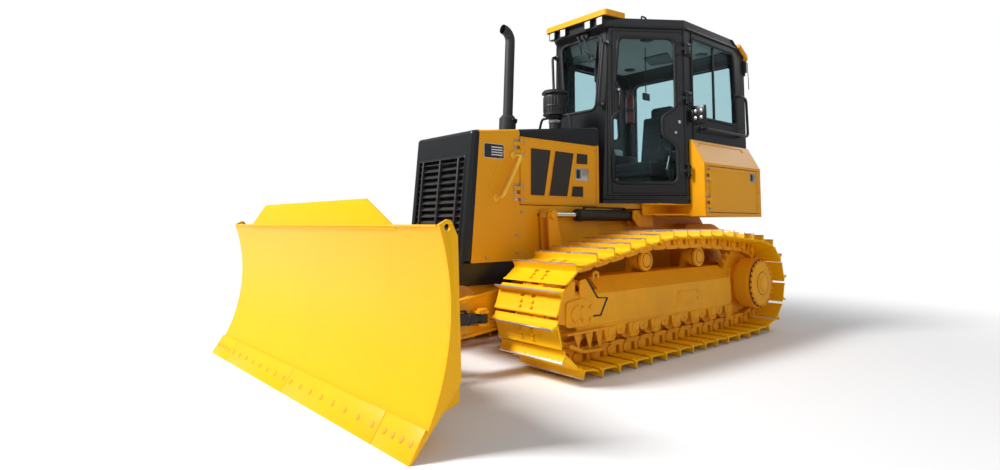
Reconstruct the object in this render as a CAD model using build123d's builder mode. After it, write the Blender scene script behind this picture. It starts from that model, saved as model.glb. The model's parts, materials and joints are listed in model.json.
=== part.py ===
from build123d import *
import os
from math import cos, hypot, radians, sin, sqrt

# Crawler bulldozer with a power-angle-tilt blade. Millimetres.
# +X is the machine's own left, -Y is the front (the blade), +Z is up, z = 0 is the ground.

os.makedirs("parts", exist_ok=True)

# ---------------------------------------------------------------- driving dimensions
pin_gap = 0.3                   # radial clearance of every hinge pin and rod
tread_gap = 0.5                 # running clearance of the rails over idlers and rollers
bend_gap = 2.0                  # the same at the last roller, where the track turns up
swing_gap = 6.0                 # clearance between moving pieces beside their pins
hang_gap = 6.0                  # clearance round doors and lids
bite = 2.0                      # how far a welded plate goes into the next one

# hinges of doors and lids
knuckle_half = 14.0
knuckle_radius = 11.0
hinge_pin = 6.0
hinge_stand = 17.0              # hinge axis, out from the face that carries it

# tracks
shoe_count = 38
shoe_width = 570.0
track_outer_x = 1055.0          # outer ends of the shoes
grouser_height = 50.0
grouser_base = 30.0
grouser_tip = 11.0
grouser_place = 22.0            # grouser, from the leading pin of its link
shoe_thickness = 12.0
shoe_gap = 6.0
link_rise = 36.0                # pin line to the shoe's underside
link_drop = 56.0                # pin line to the rail's tread
link_inner_x = 32.0             # rails, from the middle of the track
link_thickness = 45.0
link_lap = 12.0                 # how far a link passes its pins
link_end = 16.0                 # how much lower its ends are
track_phase = 28.0              # first link, along the pin line from its start

idler_y = -595.0
idler_z = 386.0
idler_pin_radius = 288.0
idler_axle_radius = 45.0
sprocket_y = 1710.0
sprocket_z = 434.0
sprocket_pin_radius = 326.0
sprocket_pockets = 24
carrier_places = ((305.0, 686.0), (1046.0, 686.0))
carrier_radius = 78.0
carrier_cap_x = 800.0
carrier_cap_radius = 76.0
sprocket_hub = 150.0
roller_count = 7
roller_first_y = -262.0
roller_last_y = 1316.0
roller_radius = 80.0
roller_flange = 14.0
carrier_flange = 4.0
carrier_drop = 6.0              # the links' corners pass this close over a carrier roller
roller_shaft = 34.0
final_drive_x = 1005.0          # outer face of the bolted cover
final_drive_radius = 205.0

# track frame
beam_outer_x = 900.0
beam_inner_x = 640.0
beam_bottom_z = 268.0
beam_core_z = 356.0             # underside between the cheeks
cheek_thickness = 24.0
beam_fold_z = 500.0
beam_top_z = 600.0
beam_front_y = -290.0
beam_rear_y = 1378.0

# hull
hull_half = 300.0
hull_front_y = -1040.0
hull_rear_y = 1960.0
hull_bottom_z = 360.0
drawbar_radius = 20.0
drawbar_half = 70.0
hull_rear_z = 1025.0            # top of the rear half, under the deck
hull_step_y = 300.0

# hood
hood_half = 352.0
hood_wall = 24.0
hood_radius = 30.0
hood_bottom_z = 702.0
guard_front_top_y = -1010.0
guard_front_low_y = -1085.0
guard_rear_top_y = -951.0
guard_rear_low_y = -1021.0
hood_seam_y = -586.0
hood_rear_y = 262.0
bulkhead = 30.0                 # rear wall of the engine bay, with the doors' rear gap
hood_slope = 0.12
hood_front_z = 1610.0           # top of the hood where the guard ends
hood_side_z = 1605.0            # foot of the sloped engine cover
door_bottom_z = 1104.0
hinge_inset = 86.0              # hinge centre, from the door's lower or upper edge
grille_half = 292.0
grille_low_z = 770.0
grille_top_z = 1430.0
louvre_count = 14

# cab
cab_floor_z = 1135.0
cab_half = 720.0
cab_door_rear_y = 1030.0
cab_rear_y = 2088.0
cab_front_y = 430.0             # at the floor
cab_corner_x = 275.0            # at the floor
cab_front_lean = 0.0368         # the front face leans back by this for each unit of height
cab_wall = 45.0
glass_thickness = 6.0
roof_top_z = 2748.0
roof_thickness = 80.0
roof_rear_z = 2612.0            # the roof slopes down to this at the back
roof_break_y = 1858.0
roof_rim = 40.0                 # ceiling under that slope
visor_thickness = 52.0
visor_half = 366.0
visor_front_y = 388.0
visor_rear_y = 610.0
visor_radius = 36.0
light_places = (-286.0, -149.0, 149.0, 286.0)
lamp_height = 76.0
lamp_depth = 40.0
lamp_radius = 14.0
door_low_z = 1205.0
door_frame = 76.0               # door's rail above its window
window_radius = 60.0
windscreen_low_z = 1955.0
windscreen_low_half = 182.0
windscreen_top_half = 248.0
side_window_low_z = 1908.0
rear_window_low_z = 1500.0

# side boxes
box_overhang = 140.0            # box's outer face, out from the cab's side
box_ledge = 25.0                # flat top beside the cab
box_front_y = 1068.0
box_rear_y = 2072.0
box_fold_z = 1480.0
box_top_z = 1690.0
box_margin = 60.0               # from the box's ends to its lid
box_sill = 30.0                 # from the box's bottom to its opening
box_head = 20.0                 # from the fold down to its opening
box_room_gap = 8.0              # from the cab's side to the room inside
lid_thickness = 22.0
filler_inset = 20.0             # filler cap, out from the flat top's edge
filler_y = 1300.0
filler_radius = 40.0
filler_low_z = 1600.0
filler_top_z = 1720.0

# deck and steps
deck_half = 494.0
deck_front_y = 320.0
deck_front_half = 260.0
deck_neck_y = 470.0
deck_full_y = 760.0             # full width from here to the rear
step_front_y = 675.0
step_front_width = 18.0
step_outer_x = 705.0
step_plate = 12.0
step_rise = 10.0                # underside of the step, above the deck's
step_rim = 8.0
cylinder_room_gap = 5.0

# inside the cab
floor_mat = 25.0
seat_front_y = 1180.0
seat_pan_rear_y = 1650.0
seat_rear_y = 1700.0
seat_pan_z = 1420.0
seat_cushion_z = 1560.0
seat_half = 260.0
seat_pan_half = 230.0
seat_back_half = 240.0
seat_back_y = 1600.0            # front of the backrest at the cushion
seat_back_low = 120.0           # depth of the backrest at the cushion
seat_back_top = 100.0
seat_lean = 100.0
seat_top_z = 2120.0
console_front_y = 600.0
console_rear_y = 720.0
console_front_z = 1680.0
console_rear_z = 1600.0
console_half = 180.0

# engine
engine_front_y = -480.0
engine_rear_y = 200.0
engine_top_z = 1480.0
engine_half = 230.0

# blade
blade_half = 1405.0
blade_side_thickness = 16.0
blade_plate = 16.0
edge_slope = 0.64               # forward reach of the cutting edge for each unit of height
edge_height = 125.0
edge_thickness = 20.0
blade_deep_y = -1943.0
blade_deep_z = 545.0
blade_top_y = -1998.0
blade_top_z = 962.0
spill_top_z = 1095.0
spill_top_half = 730.0
spill_base_half = 900.0
torque_rear_y = -1822.0          # the box behind the mouldboard
torque_top_z = 590.0
ear_hole_y = -1949.0
ear_hole_z = 951.0
ear_hole_radius = 16.0
rib_places = (450.0, 900.0)
rib_low_z = 560.0
rib_top_z = 930.0
rib_top_y = -1900.0
rib_foot_y = -1860.0

# push frame and its linkage
lift_y = -280.0
lift_z = 470.0
arm_inner_x = 365.0
arm_outer_x = 430.0
cylinder_x = 420.0
arm_rear_top_z = 625.0
arm_rear_low_z = 313.0
arm_ridge_y = -828.0
arm_ridge_z = 531.0
arm_knee_y = -1164.0            # in front of it the arms turn in to the nose
arm_knee_top_z = 474.0
arm_knee_low_z = 229.0
arm_bend_y = -1200.0
nose_reach = 30.0               # how far the arms' plates pass the nose pin
nose_inner_half = 150.0
nose_inner_y = -1390.0
tower_y = -366.0
tower_z = 1030.0
lift_rear_y = 650.0
nose_y = -1600.0
nose_top_z = 400.0
nose_low_z = 190.0
carrier_plate = 32.0
blade_pin_z = 300.0
angle_base_x = 485.0
angle_base_y = -1030.0
angle_z = 360.0
angle_lug_x = 380.0
angle_lug_y = -1680.0
tilt_z = 700.0
tilt_base_x = -130.0
tilt_lug_x = 560.0
tilt_y = -1715.0

# ---------------------------------------------------------------- values that follow
def blend_heights(low, high, share):
    return low + (high - low) * share


track_mid_x = track_outer_x - shoe_width / 2
pin_line_z = grouser_height + shoe_thickness + link_rise
roller_z = pin_line_z + link_drop + roller_radius
roller_pitch = (roller_last_y - roller_first_y) / (roller_count - 1)
box_bottom_z = hull_rear_z
box_outer_x = cab_half + box_overhang
box_ledge_x = cab_half + box_ledge
cab_top_z = roof_top_z - roof_thickness
visor_top_z = roof_top_z + visor_thickness
door_top_z = cab_top_z - 13
window_top_z = door_top_z - door_frame
cab_hinge_places = (door_low_z + 213, blend_heights(door_low_z, door_top_z, 0.585), door_top_z - 164)
engine_hinge_places = (door_bottom_z + hinge_inset, hood_side_z - hang_gap - hinge_inset)
box_hinge_places = (box_bottom_z + box_sill + hinge_inset, box_fold_z - box_head - hinge_inset)
carrier_pin_radius = carrier_radius + link_drop
track_inner_x = track_outer_x - shoe_width
rail_outer = link_inner_x + link_thickness


# ---------------------------------------------------------------- helpers
def slab_yz(points, x_from, x_to, mode=Mode.ADD):
    """A side profile (y, z) pushed out from x_from to x_to."""
    with BuildSketch(Plane.YZ.offset(x_from)) as profile:
        with BuildLine():
            Polyline(*points, close=True)
        make_face()
    extrude(profile.sketch, amount=x_to - x_from, mode=mode)


def slab_xz(points, y_from, y_to, mode=Mode.ADD):
    """A front profile (x, z) pushed back from y_from to y_to."""
    with BuildSketch(Plane.XZ.offset(-y_from)) as profile:
        with BuildLine():
            Polyline(*points, close=True)
        make_face()
    extrude(profile.sketch, amount=-(y_to - y_from), mode=mode)


def slab_xy(points, z_from, z_to, mode=Mode.ADD):
    """A plan (x, y) pushed up from z_from to z_to."""
    with BuildSketch(Plane.XY.offset(z_from)) as profile:
        with BuildLine():
            Polyline(*points, close=True)
        make_face()
    extrude(profile.sketch, amount=z_to - z_from, mode=mode)


def bar_x(y, z, radius, x_from, x_to, mode=Mode.ADD):
    """A round bar along X."""
    with BuildSketch(Plane.YZ.offset(x_from)) as profile:
        with Locations((y, z)):
            Circle(radius)
    extrude(profile.sketch, amount=x_to - x_from, mode=mode)


def bar_y(x, z, radius, y_from, y_to, mode=Mode.ADD):
    """A round bar along Y."""
    with BuildSketch(Plane.XZ.offset(-y_from)) as profile:
        with Locations((x, z)):
            Circle(radius)
    extrude(profile.sketch, amount=-(y_to - y_from), mode=mode)


def bar_z(x, y, radius, z_from, z_to, mode=Mode.ADD):
    """A round bar along Z."""
    with BuildSketch(Plane.XY.offset(z_from)) as profile:
        with Locations((x, y)):
            Circle(radius)
    extrude(profile.sketch, amount=z_to - z_from, mode=mode)


def rectangle(a_from, a_to, b_from, b_to):
    return [(a_from, b_from), (a_to, b_from), (a_to, b_to), (a_from, b_to)]


def hinge(pivot, leaf, place, fixed):
    """Hinge knuckles with their leaves; the fixed side carries the pin and the outer knuckles."""
    inner = knuckle_half - 1
    low_end, high_end = place - 3 * knuckle_half, place + 3 * knuckle_half
    spans = ((low_end, place - knuckle_half), (place + knuckle_half, high_end))
    if not fixed:
        spans = ((place - inner, place + inner),)
    for low, high in spans:
        slab_xy(leaf, low, high)
        bar_z(*pivot, knuckle_radius, low, high)
    if fixed:
        bar_z(*pivot, hinge_pin, low_end, high_end)
    else:
        bar_z(*pivot, hinge_pin + pin_gap, place - knuckle_half, place + knuckle_half, Mode.SUBTRACT)


def save(piece, name):
    piece.part.label = name
    export_step(piece.part, f"parts/{name}.step")


def save_pair(piece, name):
    """Writes the left piece and its mirror image on the right."""
    save(piece, f"{name}_left")
    with BuildPart() as twin:
        mirror(piece.part, about=Plane.YZ)
    save(twin, f"{name}_right")


def hood_line(y):
    """Height of the hood's sloped top line."""
    return hood_front_z + hood_slope * (y - guard_rear_top_y)


def blend(value, low, high, at_low, at_high):
    return at_low + (at_high - at_low) * (value - low) / (high - low)


# ---------------------------------------------------------------- tracks
with BuildSketch(Plane.YZ) as pin_loop:
    with Locations((idler_y, idler_z)):
        Circle(idler_pin_radius)
    with Locations((sprocket_y, sprocket_z)):
        Circle(sprocket_pin_radius)
    with Locations(*carrier_places):
        Circle(carrier_pin_radius)
    with Locations(*[(roller_first_y + roller_pitch * i, roller_z) for i in range(roller_count)]):
        Circle(roller_radius + link_drop)
    make_hull()
pin_line = pin_loop.sketch.faces()[0].outer_wire()

pins = []
for link in range(shoe_count):
    along = (link / shoe_count + track_phase / pin_line.length) % 1
    pins.append(pin_line.position_at(along))


def link_point(link, along, out):
    """A point of a link: along it from its leading pin, and out from the pin line, as (y, z)."""
    start = pins[link]
    end = pins[(link + 1) % shoe_count]
    length = (end - start).length
    ahead_y = (end.Y - start.Y) / length
    ahead_z = (end.Z - start.Z) / length
    return (start.Y + along * ahead_y + out * ahead_z, start.Z + along * ahead_z - out * ahead_y)


def link_length(link):
    return (pins[(link + 1) % shoe_count] - pins[link]).length


def tread_radius(pin_radius):
    """Radius that the middle of a straight link rolls on, round a wheel."""
    return sqrt(pin_radius**2 - (pin_line.length / shoe_count / 2) ** 2) - link_drop


idler_tread = tread_radius(idler_pin_radius) - tread_gap


with BuildPart() as track:
    with BuildSketch(Plane.YZ.offset(track_inner_x)) as shoes:
        for link in range(shoe_count):
            reach = link_length(link)
            outline = [
                (-shoe_gap, link_rise - 8),
                (reach - 2 * shoe_gap, link_rise),
                (reach - 2 * shoe_gap, link_rise + shoe_thickness),
                (grouser_place + grouser_base / 2, link_rise + shoe_thickness),
                (grouser_place + grouser_tip / 2, link_rise + shoe_thickness + grouser_height),
                (grouser_place - grouser_tip / 2, link_rise + shoe_thickness + grouser_height),
                (grouser_place - grouser_base / 2, link_rise + shoe_thickness),
            ]
            with BuildLine():
                Polyline(*[link_point(link, a, h) for a, h in outline], close=True)
            make_face()
    extrude(amount=shoe_width)
    for rail_side in (-1, 1):
        rail_x = track_mid_x + rail_side * (link_inner_x + link_thickness / 2)
        with BuildSketch(Plane.YZ.offset(rail_x - link_thickness / 2)) as rail:
            for link in range(shoe_count):
                reach = link_length(link)
                outline = [
                    (-link_lap, link_end - link_drop),
                    (0.15 * reach, -link_drop),
                    (0.85 * reach, -link_drop),
                    (reach + link_lap, link_end - link_drop),
                    (reach + link_lap, link_rise - 2 * link_end),
                    (0.85 * reach, link_rise + bite),
                    (0.15 * reach, link_rise + bite),
                    (-link_lap, link_rise - 2 * link_end),
                ]
                with BuildLine():
                    Polyline(*[link_point(link, a, h) for a, h in outline], close=True)
                make_face()
        extrude(amount=link_thickness)
save_pair(track, "track")

# ---------------------------------------------------------------- idlers, rollers, sprockets
with BuildPart() as idler:
    with BuildSketch(Plane.XY):
        with BuildLine():
            Polyline(
                (track_mid_x - rail_outer, 0),
                (track_mid_x + rail_outer, 0),
                (track_mid_x + rail_outer, idler_tread),
                (track_mid_x + link_inner_x - 6, idler_tread),
                (track_mid_x + link_inner_x - 10, idler_tread + 12),
                (track_mid_x - link_inner_x + 10, idler_tread + 12),
                (track_mid_x - link_inner_x + 6, idler_tread),
                (track_mid_x - rail_outer, idler_tread),
                close=True,
            )
        make_face()
    revolve(axis=Axis.X)
    for face_x, depth in ((track_mid_x - rail_outer, 46), (track_mid_x + rail_outer, -46)):
        with BuildSketch(Plane.YZ.offset(face_x)):
            Circle(idler_tread - 34)
            Circle(88, mode=Mode.SUBTRACT)
        extrude(amount=depth, mode=Mode.SUBTRACT)
    with BuildSketch(Plane.YZ.offset(beam_inner_x)):
        Circle(idler_axle_radius - pin_gap)
    extrude(amount=beam_outer_x - beam_inner_x)
idler.part.locate(Location((0, idler_y, idler_z)))
save_pair(idler, "idler")

with BuildPart() as rollers:
    for i in range(roller_count):
        roller_y = roller_first_y + roller_pitch * i
        rolling_radius = roller_radius - (bend_gap if i == roller_count - 1 else tread_gap)
        bar_x(roller_y, roller_z, rolling_radius, track_mid_x - rail_outer, track_mid_x + rail_outer)
        bar_x(roller_y, roller_z, roller_radius + roller_flange, track_mid_x - 26, track_mid_x + 26)
        bar_x(roller_y, roller_z, roller_shaft - pin_gap, beam_inner_x, beam_outer_x)
    for carrier_y, carrier_z in carrier_places:
        tread = carrier_radius - carrier_drop
        bar_x(carrier_y, carrier_z, tread, track_mid_x - rail_outer, track_mid_x + 24)
        bar_x(carrier_y, carrier_z, carrier_radius + carrier_flange, track_mid_x - 26, track_mid_x + 26)
        bar_x(carrier_y, carrier_z, 48, track_mid_x + 26, carrier_cap_x - 20)
        bar_x(carrier_y, carrier_z, carrier_cap_radius, carrier_cap_x - 20, carrier_cap_x)
        bar_x(carrier_y, carrier_z, roller_shaft, beam_inner_x + 16, track_mid_x - rail_outer)
save_pair(rollers, "rollers")

with BuildPart() as sprocket:
    with BuildSketch(Plane.YZ.offset(track_mid_x - 26)):
        with Locations((sprocket_y, sprocket_z)):
            Circle(sprocket_pin_radius + 14)
            with PolarLocations(sprocket_pin_radius, sprocket_pockets):
                Circle(31, mode=Mode.SUBTRACT)
            Circle(sprocket_hub, mode=Mode.SUBTRACT)
    extrude(amount=52)
save_pair(sprocket, "sprocket")

with BuildPart() as final_drive:
    for radius, x_from, x_to in (
        (170, hull_half, track_mid_x - 26),
        (sprocket_hub - pin_gap, track_mid_x - 26, track_mid_x + 26),
        (185, track_mid_x + 26, 862),
        (final_drive_radius + 12, 862, final_drive_x - 22),
        (final_drive_radius, final_drive_x - 22, final_drive_x),
        (88, final_drive_x, final_drive_x + 26),
        (60, final_drive_x + 26, final_drive_x + 34),
    ):
        bar_x(sprocket_y, sprocket_z, radius, x_from, x_to)
save_pair(final_drive, "final_drive")

# ---------------------------------------------------------------- track frames
beam_outline = [
    (beam_front_y, 470),
    (beam_front_y - 95, 475),
    (beam_front_y - 205, beam_top_z),
    (beam_rear_y - 20, beam_top_z),
    (beam_rear_y, beam_bottom_z + 40),
    (beam_rear_y - 40, beam_bottom_z),
    (beam_front_y - 300, beam_bottom_z),
    (beam_front_y - 300, beam_bottom_z + 60),
    (beam_front_y - 60, beam_bottom_z + 92),
]
fork_outline = [
    (-760, 340),
    (-600, beam_bottom_z + 40),
    (beam_front_y - 90, beam_bottom_z + 70),
    (beam_front_y - 120, 460),
    (-430, 500),
    (-520, 600),
    (-640, 590),
    (-740, 500),
]
with BuildPart() as track_frame:
    slab_yz(
        [
            (beam_front_y - 60, beam_core_z),
            (beam_front_y - 60, beam_top_z),
            (beam_rear_y - 40, beam_top_z),
            (beam_rear_y - 40, beam_core_z),
        ],
        beam_inner_x,
        beam_outer_x,
    )
    for cheek_x in (beam_inner_x, beam_outer_x - cheek_thickness):
        slab_yz(beam_outline, cheek_x, cheek_x + cheek_thickness)
        slab_yz(fork_outline, cheek_x, cheek_x + cheek_thickness)
        for i in range(roller_count):
            roller_y = roller_first_y + roller_pitch * i
            slab_yz(
                [
                    (roller_y - 62, beam_bottom_z + 1),
                    (roller_y - 44, roller_z - 42),
                    (roller_y + 44, roller_z - 42),
                    (roller_y + 62, beam_bottom_z + 1),
                ],
                cheek_x,
                cheek_x + cheek_thickness,
            )
    slab_xz(
        [
            (beam_outer_x + 1, beam_fold_z),
            (beam_outer_x + 1, beam_top_z + 1),
            (beam_outer_x - 100, beam_top_z + 1),
        ],
        beam_front_y - 310,
        beam_rear_y + 10,
        Mode.SUBTRACT,
    )
    bar_x(
        idler_y,
        idler_z,
        idler_tread + 30,
        beam_inner_x + cheek_thickness,
        beam_outer_x - cheek_thickness,
        Mode.SUBTRACT,
    )
    for i in range(roller_count):
        roller_y = roller_first_y + roller_pitch * i
        bar_x(roller_y, roller_z, roller_shaft, beam_inner_x - 2, beam_outer_x + 2, Mode.SUBTRACT)
    bar_x(idler_y, idler_z, idler_axle_radius, beam_inner_x - 20, beam_outer_x + 20, Mode.SUBTRACT)
    for carrier_y, carrier_z in carrier_places:
        slab_yz(
            [
                (carrier_y - 80, beam_top_z),
                (carrier_y - 40, carrier_z + 42),
                (carrier_y + 40, carrier_z + 42),
                (carrier_y + 80, beam_top_z),
            ],
            beam_inner_x + 16,
            beam_inner_x + 50,
        )
        bar_x(carrier_y, carrier_z, roller_shaft + pin_gap, beam_inner_x, beam_inner_x + 60, Mode.SUBTRACT)
    for tie_y in (350.0, 1240.0):
        slab_yz(rectangle(tie_y - 70, tie_y + 70, 380, 520), hull_half, beam_inner_x)
save_pair(track_frame, "track_frame")

# ---------------------------------------------------------------- hull
with BuildPart() as main_frame:
    slab_yz(
        [
            (hull_front_y, 560),
            (hull_front_y + 180, hull_bottom_z + 80),
            (-500, hull_bottom_z),
            (1560, hull_bottom_z),
            (1800, 400),
            (hull_rear_y, 520),
            (hull_rear_y, 960),
            (hull_rear_y - 60, hull_rear_z),
            (hull_step_y, hull_rear_z),
            (hull_step_y, hood_bottom_z),
            (hull_front_y, hood_bottom_z),
        ],
        -hull_half,
        hull_half,
    )
    for side in (-1, 1):
        # lift cylinder brackets
        for ear_x in (cylinder_x - 48, cylinder_x + 32):
            slab_yz(
                [
                    (lift_rear_y - 60, tower_z - 20),
                    (lift_rear_y - 45, tower_z + 45),
                    (lift_rear_y + 45, tower_z + 45),
                    (lift_rear_y + 220, tower_z - 5),
                    (lift_rear_y + 220, tower_z - 92),
                    (lift_rear_y + 10, tower_z - 92),
                ],
                side * ear_x,
                side * (ear_x + 16),
            )
        slab_yz(
            rectangle(lift_rear_y + 80, lift_rear_y + 220, tower_z - 92, tower_z - 10),
            side * hull_half,
            side * (cylinder_x + 32),
        )
        bar_x(lift_rear_y, tower_z, 24, side * (cylinder_x - 48), side * (cylinder_x + 58))
        # push frame trunnions
        bar_x(lift_y, lift_z, 42, side * (hull_half - 1), side * (track_inner_x - 9))
        bar_x(lift_y, lift_z, 85, side * (hull_half - 1), side * (arm_inner_x - 8))
    # drawbar
    for ear_z in (540.0, 612.0):
        slab_xy(
            rectangle(-drawbar_half, drawbar_half, hull_rear_y - 30, hull_rear_y + 60),
            ear_z,
            ear_z + 30,
        )
    bar_z(0, hull_rear_y + 25, drawbar_radius, 500, 700, Mode.SUBTRACT)
save(main_frame, "main_frame")

with BuildPart() as engine:
    slab_yz(rectangle(engine_front_y, engine_rear_y, hood_bottom_z, engine_top_z), -engine_half, engine_half)
save(engine, "engine_block")

# ---------------------------------------------------------------- radiator guard and grille
guard_side = [
    (guard_front_low_y, hood_bottom_z),
    (guard_rear_low_y, hood_bottom_z),
    (guard_rear_top_y, hood_line(guard_rear_top_y)),
    (guard_front_top_y, hood_line(guard_front_top_y)),
]
with BuildPart() as radiator_guard:
    slab_yz(guard_side, -hood_half, hood_half)
    guard_edges = [
        edge
        for edge in radiator_guard.edges()
        if (edge.center().Y < guard_front_top_y and abs(edge.center().X) > grille_half)
        or (edge.center().Z > hood_front_z - hood_radius and edge.center().Y < guard_rear_top_y - 12)
    ]
    fillet(guard_edges, hood_radius)
    slab_xz(rectangle(-grille_half, grille_half, grille_low_z, grille_top_z), -1200, -900, Mode.SUBTRACT)
    slab_yz(
        [
            (guard_front_low_y, hood_bottom_z),
            (guard_front_low_y - 60, 690),
            (guard_front_low_y - 60, 610),
            (guard_front_low_y - 20, 560),
            (hull_front_y, 560),
            (hull_front_y, hood_bottom_z),
        ],
        -hood_half,
        hood_half,
    )
    for side in (-1, 1):
        slab_yz(rectangle(hull_front_y, hood_seam_y, 600, hood_bottom_z), side * hull_half, side * hood_half)
        slab_yz(rectangle(hull_front_y, hood_seam_y, 550, 600), side * hull_half, side * (hood_half - 14))
save(radiator_guard, "radiator_guard")

with BuildPart() as grille:
    for i in range(louvre_count):
        z = blend(i + 0.5, 0, louvre_count, grille_low_z, grille_top_z)
        y = blend(z, hood_bottom_z, hood_front_z, guard_front_low_y, guard_front_top_y)
        blade_line = [(y + 4, z - 16), (y + 10, z - 20), (y + 44, z + 12), (y + 38, z + 16)]
        slab_yz(blade_line, -grille_half, grille_half)
    for bar in (-1, 0, 1):
        low = blend(grille_low_z, hood_bottom_z, hood_front_z, guard_front_low_y, guard_front_top_y)
        high = blend(grille_top_z, hood_bottom_z, hood_front_z, guard_front_low_y, guard_front_top_y)
        slab_yz(
            [
                (low - 4, grille_low_z),
                (low + 40, grille_low_z),
                (high + 40, grille_top_z),
                (high - 4, grille_top_z),
            ],
            bar * 150 - 6,
            bar * 150 + 6,
        )
save(grille, "grille")

# ---------------------------------------------------------------- hood
def top_side_edges(piece):
    """The two sloped edges between the hood's top and its sides."""
    outer = [edge for edge in piece.edges() if abs(abs(edge.center().X) - hood_half) < 1]
    return [edge for edge in outer if abs(edge.center().Z - hood_line(edge.center().Y)) < 1]


# a hinge leaf: out from the face, and away from the seam
seam_leaf = [(hinge_stand, 0), (hinge_stand + 4, 6), (6, 60), (-bite, 60), (-bite, 16), (10, 8)]
with BuildPart() as hood_front:
    slab_yz(
        [
            (guard_rear_low_y, hood_bottom_z),
            (hood_seam_y, hood_bottom_z),
            (hood_seam_y, hood_line(hood_seam_y)),
            (guard_rear_top_y, hood_line(guard_rear_top_y)),
        ],
        -hood_half,
        hood_half,
    )
    fillet(top_side_edges(hood_front), hood_radius)
    slab_yz(
        [
            (guard_rear_low_y - 10, hood_bottom_z - 10),
            (hood_seam_y + 10, hood_bottom_z - 10),
            (hood_seam_y + 10, hood_line(hood_seam_y) - hood_wall),
            (guard_rear_top_y - 10, hood_line(guard_rear_top_y) - hood_wall),
        ],
        hood_wall - hood_half,
        hood_half - hood_wall,
        Mode.SUBTRACT,
    )
    for side in (-1, 1):
        for place in engine_hinge_places:
            leaf = [(side * (hood_half + a), hood_seam_y - b) for a, b in seam_leaf]
            hinge((side * (hood_half + hinge_stand), hood_seam_y), leaf, place, fixed=True)
save(hood_front, "hood_front")

with BuildPart() as engine_cowl:
    for side in (-1, 1):
        slab_yz(
            rectangle(hood_seam_y, hood_rear_y + bulkhead, hood_bottom_z, door_bottom_z - hang_gap),
            side * (hood_half - hood_wall),
            side * hood_half,
        )
    slab_yz(
        rectangle(hood_rear_y + hang_gap, hood_rear_y + bulkhead, hood_bottom_z, hood_side_z),
        -hood_half,
        hood_half,
    )
save(engine_cowl, "engine_cowl")

with BuildPart() as hood_top:
    slab_yz(
        [
            (hood_seam_y, hood_side_z),
            (hood_rear_y + bulkhead, hood_side_z),
            (hood_rear_y + bulkhead, hood_line(hood_rear_y)),
            (hood_rear_y, hood_line(hood_rear_y)),
            (hood_seam_y, hood_line(hood_seam_y)),
        ],
        -hood_half,
        hood_half,
    )
    fillet(top_side_edges(hood_top), hood_radius)
save(hood_top, "hood_top")

with BuildPart() as engine_door:
    slab_yz(
        rectangle(hood_seam_y + hang_gap, hood_rear_y, door_bottom_z, hood_side_z - hang_gap),
        hood_half - hood_wall,
        hood_half,
    )
    for place in engine_hinge_places:
        leaf = [(hood_half + a, hood_seam_y + b) for a, b in seam_leaf]
        hinge((hood_half + hinge_stand, hood_seam_y), leaf, place, fixed=False)
save_pair(engine_door, "engine_door")

# ---------------------------------------------------------------- exhaust and pre-cleaner
under_hood_line = [
    (hood_seam_y, hood_side_z - 200),
    (hood_rear_y, hood_side_z - 200),
    (hood_rear_y, hood_line(hood_rear_y)),
    (hood_seam_y, hood_line(hood_seam_y)),
]
stack_y = -401.0
stack_lean = 2.3
stack_radius = 39.0
stack_wall = 3.0
stack_bend = (-371.0, 2430.0)
stack_tip = (-448.0, 2516.0)
collar_radius = 67.0
collar_height = 140.0
with BuildPart() as exhaust_stack:
    stack_up = (0, sin(radians(stack_lean)), cos(radians(stack_lean)))
    stack_foot = Plane((0, stack_y, hood_line(stack_y)), z_dir=stack_up)
    with BuildSketch(stack_foot.offset(-20)) as collar:
        Circle(collar_radius)
    extrude(collar.sketch, amount=collar_height)
    with BuildSketch(stack_foot.offset(collar_height - 21)) as collar_top:
        Circle(collar_radius)
    extrude(collar_top.sketch, amount=28, taper=38)
    with BuildLine(Plane.YZ) as stack_line:
        straight = Line((stack_y, hood_line(stack_y)), stack_bend)
        TangentArc(stack_bend, stack_tip, tangent=straight % 1)
    for radius, mode in ((stack_radius, Mode.ADD), (stack_radius - stack_wall, Mode.SUBTRACT)):
        with BuildSketch(Plane(stack_line.line @ 0, z_dir=stack_line.line % 0)) as pipe:
            Circle(radius)
        sweep(pipe.sketch, path=stack_line.line, mode=mode)
    slab_yz(under_hood_line, -200, 200, Mode.SUBTRACT)
save(exhaust_stack, "exhaust_stack")

# radius and height of the pre-cleaner's stem, bowl and lid
cleaner_profile = [
    (0, 1700),
    (51, 1700),
    (51, 1850),
    (62, 1864),
    (62, 1882),
    (104, 1886),
    (104, 1896),
    (97, 1902),
    (97, 2040),
    (93, 2062),
    (113, 2070),
    (113, 2082),
    (100, 2098),
    (0, 2104),
]
cleaner_y = 140.0
with BuildPart() as precleaner:
    with BuildSketch(Plane.XZ) as bowl:
        with BuildLine():
            Polyline(*cleaner_profile, close=True)
        make_face()
    revolve(axis=Axis.Z)
    precleaner.part.locate(Location((0, cleaner_y, 0)))
with BuildPart() as cleaner:
    add(precleaner.part)
    slab_yz(under_hood_line, -200, 200, Mode.SUBTRACT)
save(cleaner, "precleaner")

# ---------------------------------------------------------------- cab
cab_plan = [
    (-cab_corner_x, cab_front_y),
    (cab_corner_x, cab_front_y),
    (cab_half, cab_door_rear_y),
    (cab_half, cab_rear_y),
    (-cab_half, cab_rear_y),
    (-cab_half, cab_door_rear_y),
]


def cab_front_at(z):
    return cab_front_y + cab_front_lean * (z - cab_floor_z)


def roof_cut(depth):
    """Everything above the sloped rear of the roof, less a depth."""
    return [
        (roof_break_y, roof_top_z - depth),
        (cab_rear_y + 1, roof_rear_z - depth),
        (cab_rear_y + 1, roof_top_z + 2 * roof_thickness),
        (roof_break_y, roof_top_z + 2 * roof_thickness),
    ]


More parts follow.
